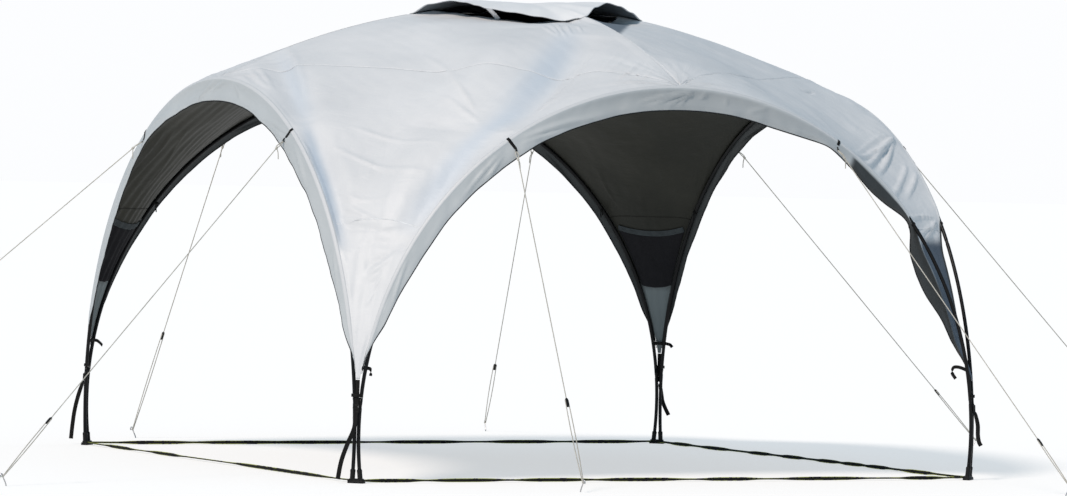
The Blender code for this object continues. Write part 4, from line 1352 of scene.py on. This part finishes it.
RIBBON_SIDE = np.array((0.9, -0.43, 0.1))
tip_straps = []
for index, corner in enumerate(CORNERS):
    bm = bmesh.new()
    flat = np.array((1.0, -1.0, 0.0))
    upper = [outside(0.0032, 0, TIP_HEIGHT + 0.008), outside(0.0016, 0, 0.470), outside(0.0014, 0, 0.430), outside(0.0016, 0, 0.396), outside(0.0068, 0, 0.382), outside(0.0068, 0, 0.366), outside(0.0042, 0, 0.358)]
    wrap(bm, smooth_path(upper, 8), flat, STRAP_WIDTH / 2, 0.0008, sides=12, power=5.0)
    tail = [outside(0.0042, 0, 0.372), outside(0.0070, 0, 0.352), outside(0.0120, 0, 0.338)]
    tail += [outside(*place) for place in TAILS[corner]]
    path = smooth_path(tail, 10)
    share = np.linspace(0, 1, len(path))[:, None]
    lean = flat * (1 - ease(share * 1.6)) + turned(RIBBON_SIDE, 4 - index) * 1.5 * ease(share * 1.6)
    wrap(bm, path, lean, STRAP_WIDTH / 2, 0.0008, sides=12, power=5.0)
    buckle(bm, outside(0.0055, 0, 0.386), outside(0.0055, 0, 0.349), flat, 1)
    collar = [outside(-0.0005 + 0.011 * (1 - abs(t)), 0.031 * t, 0.432) for t in np.linspace(-1, 1, 15)]
    wrap(bm, smooth_path(collar, 3), (0, 0, 1), 0.0080, 0.0008, sides=8, power=4.0)
    bmesh.ops.transform(bm, matrix=Matrix.Rotation(index * math.pi / 2, 4, "Z"), verts=bm.verts)
    tip_straps.append(hard_piece(f"strap_of_tip_{corner}", bm, [webbing, plastic]))

bm = bmesh.new()
for index, corner in enumerate(CORNERS):
    hand = -1 if corner == "front_left" else 1
    inside = -2 * TUBE_RADIUS - 0.0022
    band = [outside(inside + 0.012 * abs(t) ** 6, 0.040 * t * hand, BAND_HEIGHT) for t in np.linspace(-1, 1, 13)]
    band += [outside(*place) for place in LOOSE_ENDS[corner]]
    path = turned(smooth_path(band, 4), index)
    wrap(bm, path, (0, 0, 1), STRAP_WIDTH * 0.4, 0.0008, sides=12, power=5.0)
tip_bands = hard_piece("bands_of_tips", bm, [webbing])
print("tip straps:", len(tip_straps), "and four bands")

# %% [markdown]
# ## Guy lines
#
# A black tab goes over the pole and the flap. From its loop a pale braided rope runs straight down.
# Below a small runner the rope is doubled, because it comes back from the peg: pushing the runner
# up tightens it. The steel peg leans away from the pull, with its hook up.

# %% String the guy lines
PEGS = {
    "front_left": (0, -1, (-0.90, -2.52)),
    "front_right": (0, 1, (1.51, -3.07)),
    "right_front": (1, -1, (3.60, -0.56)),
    "right_back": (1, 1, (3.46, 1.17)),
    "back_right": (2, -1, (1.31, 3.07)),
    "back_left": (2, 1, (-1.17, 2.40)),
    "left_back": (3, -1, (-3.42, 1.67)),
    "left_front": (3, 1, (-3.60, -1.80)),
}
ROPE_RADIUS = 0.0026
PEG_RADIUS = 0.0030
RUNNER_SHARES = {
    "front_left": 0.76, "front_right": 0.87, "right_front": 0.80, "right_back": 0.83,
    "back_right": 0.79, "back_left": 0.67, "left_back": 0.75, "left_front": 0.84,
}
GUY_ANGLES = {"front_right": 31.6, "left_front": 31.8}


def guy_line(name, index, hand, peg):
    """The tab, rope, runner and peg of one guy line."""
    guy_angle = math.radians(GUY_ANGLES.get(name, TAB_ANGLE))
    ground = np.array((Matrix.Rotation(-index * math.pi / 2, 3, "Z") @ Vector((*peg, 0.0)))[:])
    share = np.linspace(0.12, 0.74, 24)
    tab = flap_points(np.full(24, hand * guy_angle), share, FLAP_CLOTH + 0.0018, index)
    hem = tab[-1]
    away = unit(np.array((ground[0] - hem[0], ground[1] - hem[1], 0.0)))
    head = ground + away * 0.025 + (0, 0, 0.050)
    start = hem + (head - hem) * 0.02 + (0, -0.006, -0.004)
    pull = unit(head - start)
    level = np.array((-away[1], away[0], 0.0))
    runner = start + (head - start) * RUNNER_SHARES[name]
    along_arch = np.array((math.cos(guy_angle), 0.0, -hand * math.sin(guy_angle)))

    cloth = bmesh.new()
    wrap(cloth, tab, along_arch, 0.0080, 0.0008, sides=12, power=5.0)
    eye = [hem + (0, 0, 0.004), hem + (0, -0.008, -0.006), hem + (0, -0.010, -0.014), hem + (0, -0.002, -0.012), hem + (0, 0.001, -0.002)]
    wrap(cloth, smooth_path(eye, 6), along_arch, 0.0050, 0.0008, sides=8, power=4.0)

    rope = bmesh.new()
    knot = start + pull * 0.018
    loop = [knot, start + level * 0.008, hem + (0, -0.007, -0.013), start - level * 0.008 + (0, 0, 0.002), knot]
    wrap(rope, smooth_path(loop, 8), pull + (0.3, 0.2, 0.1), ROPE_RADIUS, sides=10)
    bead = knot + np.linspace(-0.010, 0.010, 11)[:, None] * pull
    wrap(rope, bead, level, 0.0062 * np.sqrt(1 - np.linspace(-0.96, 0.96, 11) ** 2) + 0.0005, sides=12)
    wrap(rope, np.linspace(knot, runner - pull * 0.010, 60), level, ROPE_RADIUS, sides=10)
    spare = [knot, knot + level * 0.010 + (0, 0, -0.020), knot + level * 0.013 + (0, 0, -0.055)]
    wrap(rope, smooth_path(spare, 8), level + (0, 0.5, 0), ROPE_RADIUS * 0.95, sides=10)
    for side in (-1, 1):
        t = np.linspace(0, 1, 40)[:, None]
        bow = np.sin(np.pi * t) * 0.004 + (1 - t) * 0.006 + 0.0022
        strand = (runner - pull * 0.014) * (1 - t) + (head + (0, 0, -0.004)) * t + level * side * bow
        wrap(rope, strand, level, ROPE_RADIUS, sides=10)
    bight = [head + level * 0.0024 - pull * 0.004, head + away * 0.0052 + level * 0.003 + (0, 0, -0.004), head + away * 0.0062 + (0, 0, -0.005), head + away * 0.0052 - level * 0.003 + (0, 0, -0.004), head - level * 0.0024 - pull * 0.004]
    wrap(rope, smooth_path(bight, 6), (0, 0, 1), ROPE_RADIUS, sides=10)

    bar = bmesh.new()
    t = np.linspace(-1, 1, 21)[:, None]
    spine = runner + t * 0.024 * pull + away * 0.002 * (1 - t ** 2)
    round_off = np.sqrt(1 - (np.abs(t[:, 0]) * 0.985) ** 6)
    wrap(bar, spine, level, 0.0085 * round_off, 0.0046 * round_off, sides=16, power=3.0)

    pin = bmesh.new()
    low = ground + away * 0.0008
    shank = [low, ground + away * 0.006 + (0, 0, 0.014), head + (0, 0, -0.006), head + away * 0.004 + (0, 0, 0.006), head + away * 0.012 + (0, 0, 0.009), head + away * 0.018 + (0, 0, 0.002), head + away * 0.018 + (0, 0, -0.008)]
    path = smooth_path(shank, 8)
    path[:, 2] = np.maximum(path[:, 2], 0.0)
    wrap(pin, path, level, PEG_RADIUS, sides=12)
    return cloth, rope, bar, pin


guy_pieces = {}
looks = (("tab", webbing, "black_webbing"), ("rope", pale_rope, "guy_rope"), ("runner", plastic, "black_plastic"), ("peg", steel, "black_steel"))
for name, (index, hand, peg) in PEGS.items():
    for bm, (part, material, slot) in zip(guy_line(name, index, hand, peg), looks):
        bmesh.ops.transform(bm, matrix=Matrix.Rotation(index * math.pi / 2, 4, "Z"), verts=bm.verts)
        guy_pieces[f"{part}_{name}"] = (hard_piece(f"guy_{part}_{name}", bm, [material]), slot, part, name)
print("guy line pieces:", len(guy_pieces))

# %% [markdown]
# ## Who stands for what
#
# Every piece rides on the pavilion, and the solids that it stands for are hidden.

def stands_for(piece, slot, *nodes):
    """A piece of the pavilion, and the solids that it replaces; its slot is not used."""
    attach(piece, "root")
    if nodes:
        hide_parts(*nodes)


def sheet(piece, slot, nodes):
    """A stretched cloth, put on like any other piece; its slot is not used."""
    stands_for(piece, slot, *nodes)


for piece in (crown_seams, tie_seams, ridge_seams, cap_hem, cap_tape):
    stands_for(piece, "silver_cloth")
for piece in net_hems:
    stands_for(piece, "black_mesh")
for piece in flap_hems + [corner_ties, tip_bands]:
    stands_for(piece, "black_webbing")
for index, side in enumerate(SIDES):
    stands_for(bows[index], "black_steel", f"{side}_arch_bow")
    stands_for(legs[2 * index], "black_steel", f"{side}_arch_left_leg")
    stands_for(legs[2 * index + 1], "black_steel", f"{side}_arch_right_leg")
    stands_for(ground_straps[index], "black_webbing", f"{side}_ground_strap")
for index, corner in enumerate(CORNERS):
    stands_for(feet[index], "black_plastic", f"{corner}_foot")
    stands_for(tip_straps[index], "black_webbing", f"{corner}_tip_strap")
for piece, node_name in zip(ridge_poles, ("ridge_pole_front_to_back", "ridge_pole_left_to_right")):
    stands_for(piece, "black_fibre", node_name)
for piece, slot, part, name in guy_pieces.values():
    stands_for(piece, slot, *([f"guy_line_{name}"] if part == "rope" else []))

sheet(roof, "silver_cloth", [f"roof_panel_{corner}" for corner in CORNERS])
for index, corner in enumerate(CORNERS):
    sheet(corners[index], "silver_cloth", [f"corner_panel_{corner}"])
    sheet(nets[index], "black_mesh", [f"corner_net_{corner}"])
for index, side in enumerate(SIDES):
    sheet(flaps[index], "flap_cloth", [f"{side}_flap"])
sheet(vent_net, "black_mesh", ["vent_net"])
sheet(cap, "silver_cloth", ["vent_cap"])

# %% [markdown]
# ## The stage
#
# Outdoors on a bright day the sun comes from the high left and the blue sky fills the shade. One
# soft sun lamp and a slightly blue surround do the same. The camera sees the surround as pale as
# the floor, so that no horizon shows behind the pavilion.

# %% Floor, surround and sun
bm = bmesh.new()
bmesh.ops.create_circle(bm, cap_ends=True, segments=96, radius=150.0)
floor_finish = hard_finish("pale floor", (0.48, 0.468, 0.456), 0.004, 0.95, bump=0.0)
glow = floor_finish.node_tree.nodes["Principled BSDF"]
glow.inputs["Emission Color"].default_value = (1.0, 1.0, 1.0, 1)
glow.inputs["Emission Strength"].default_value = 0.55
floor = finish_piece("floor", bm, [floor_finish])

SKY = (0.52, 0.78, 1.0, 1)
SKY_STRENGTH = 0.47
BACKDROP = (0.975, 0.985, 1.0, 1)
BACKDROP_STRENGTH = 1.0
world = bpy.data.worlds.new("surround")
bpy.context.scene.world = world
world.use_nodes = True
tree = world.node_tree
sky = tree.nodes["Background"]
sky.inputs["Color"].default_value = SKY
sky.inputs["Strength"].default_value = SKY_STRENGTH
seen = add(tree, "Background", {"Color": BACKDROP, "Strength": BACKDROP_STRENGTH})
ray = add(tree, "LightPath")
choice = add(tree, "MixShader", {0: ray.outputs["Is Camera Ray"], 1: sky.outputs["Background"], 2: seen.outputs["Background"]})
tree.links.new(choice.outputs["Shader"], tree.nodes["World Output"].inputs["Surface"])

sun_lamp = bpy.data.lights.new("sun", "SUN")
sun_lamp.energy = 2.72
sun_lamp.angle = math.radians(12)
sun_lamp.color = (1.0, 0.88, 0.79)
sun = bpy.data.objects.new("sun", sun_lamp)
SUN_FROM = Vector((-0.560, -0.305, 0.770))
sun.rotation_mode = "QUATERNION"
sun.rotation_quaternion = (-SUN_FROM).to_track_quat("-Z", "Y")
bpy.context.scene.collection.objects.link(sun)
bpy.context.scene.view_settings.view_transform = "Standard"
print("sun height:", round(math.degrees(math.asin(SUN_FROM.normalized().z))), "degrees")
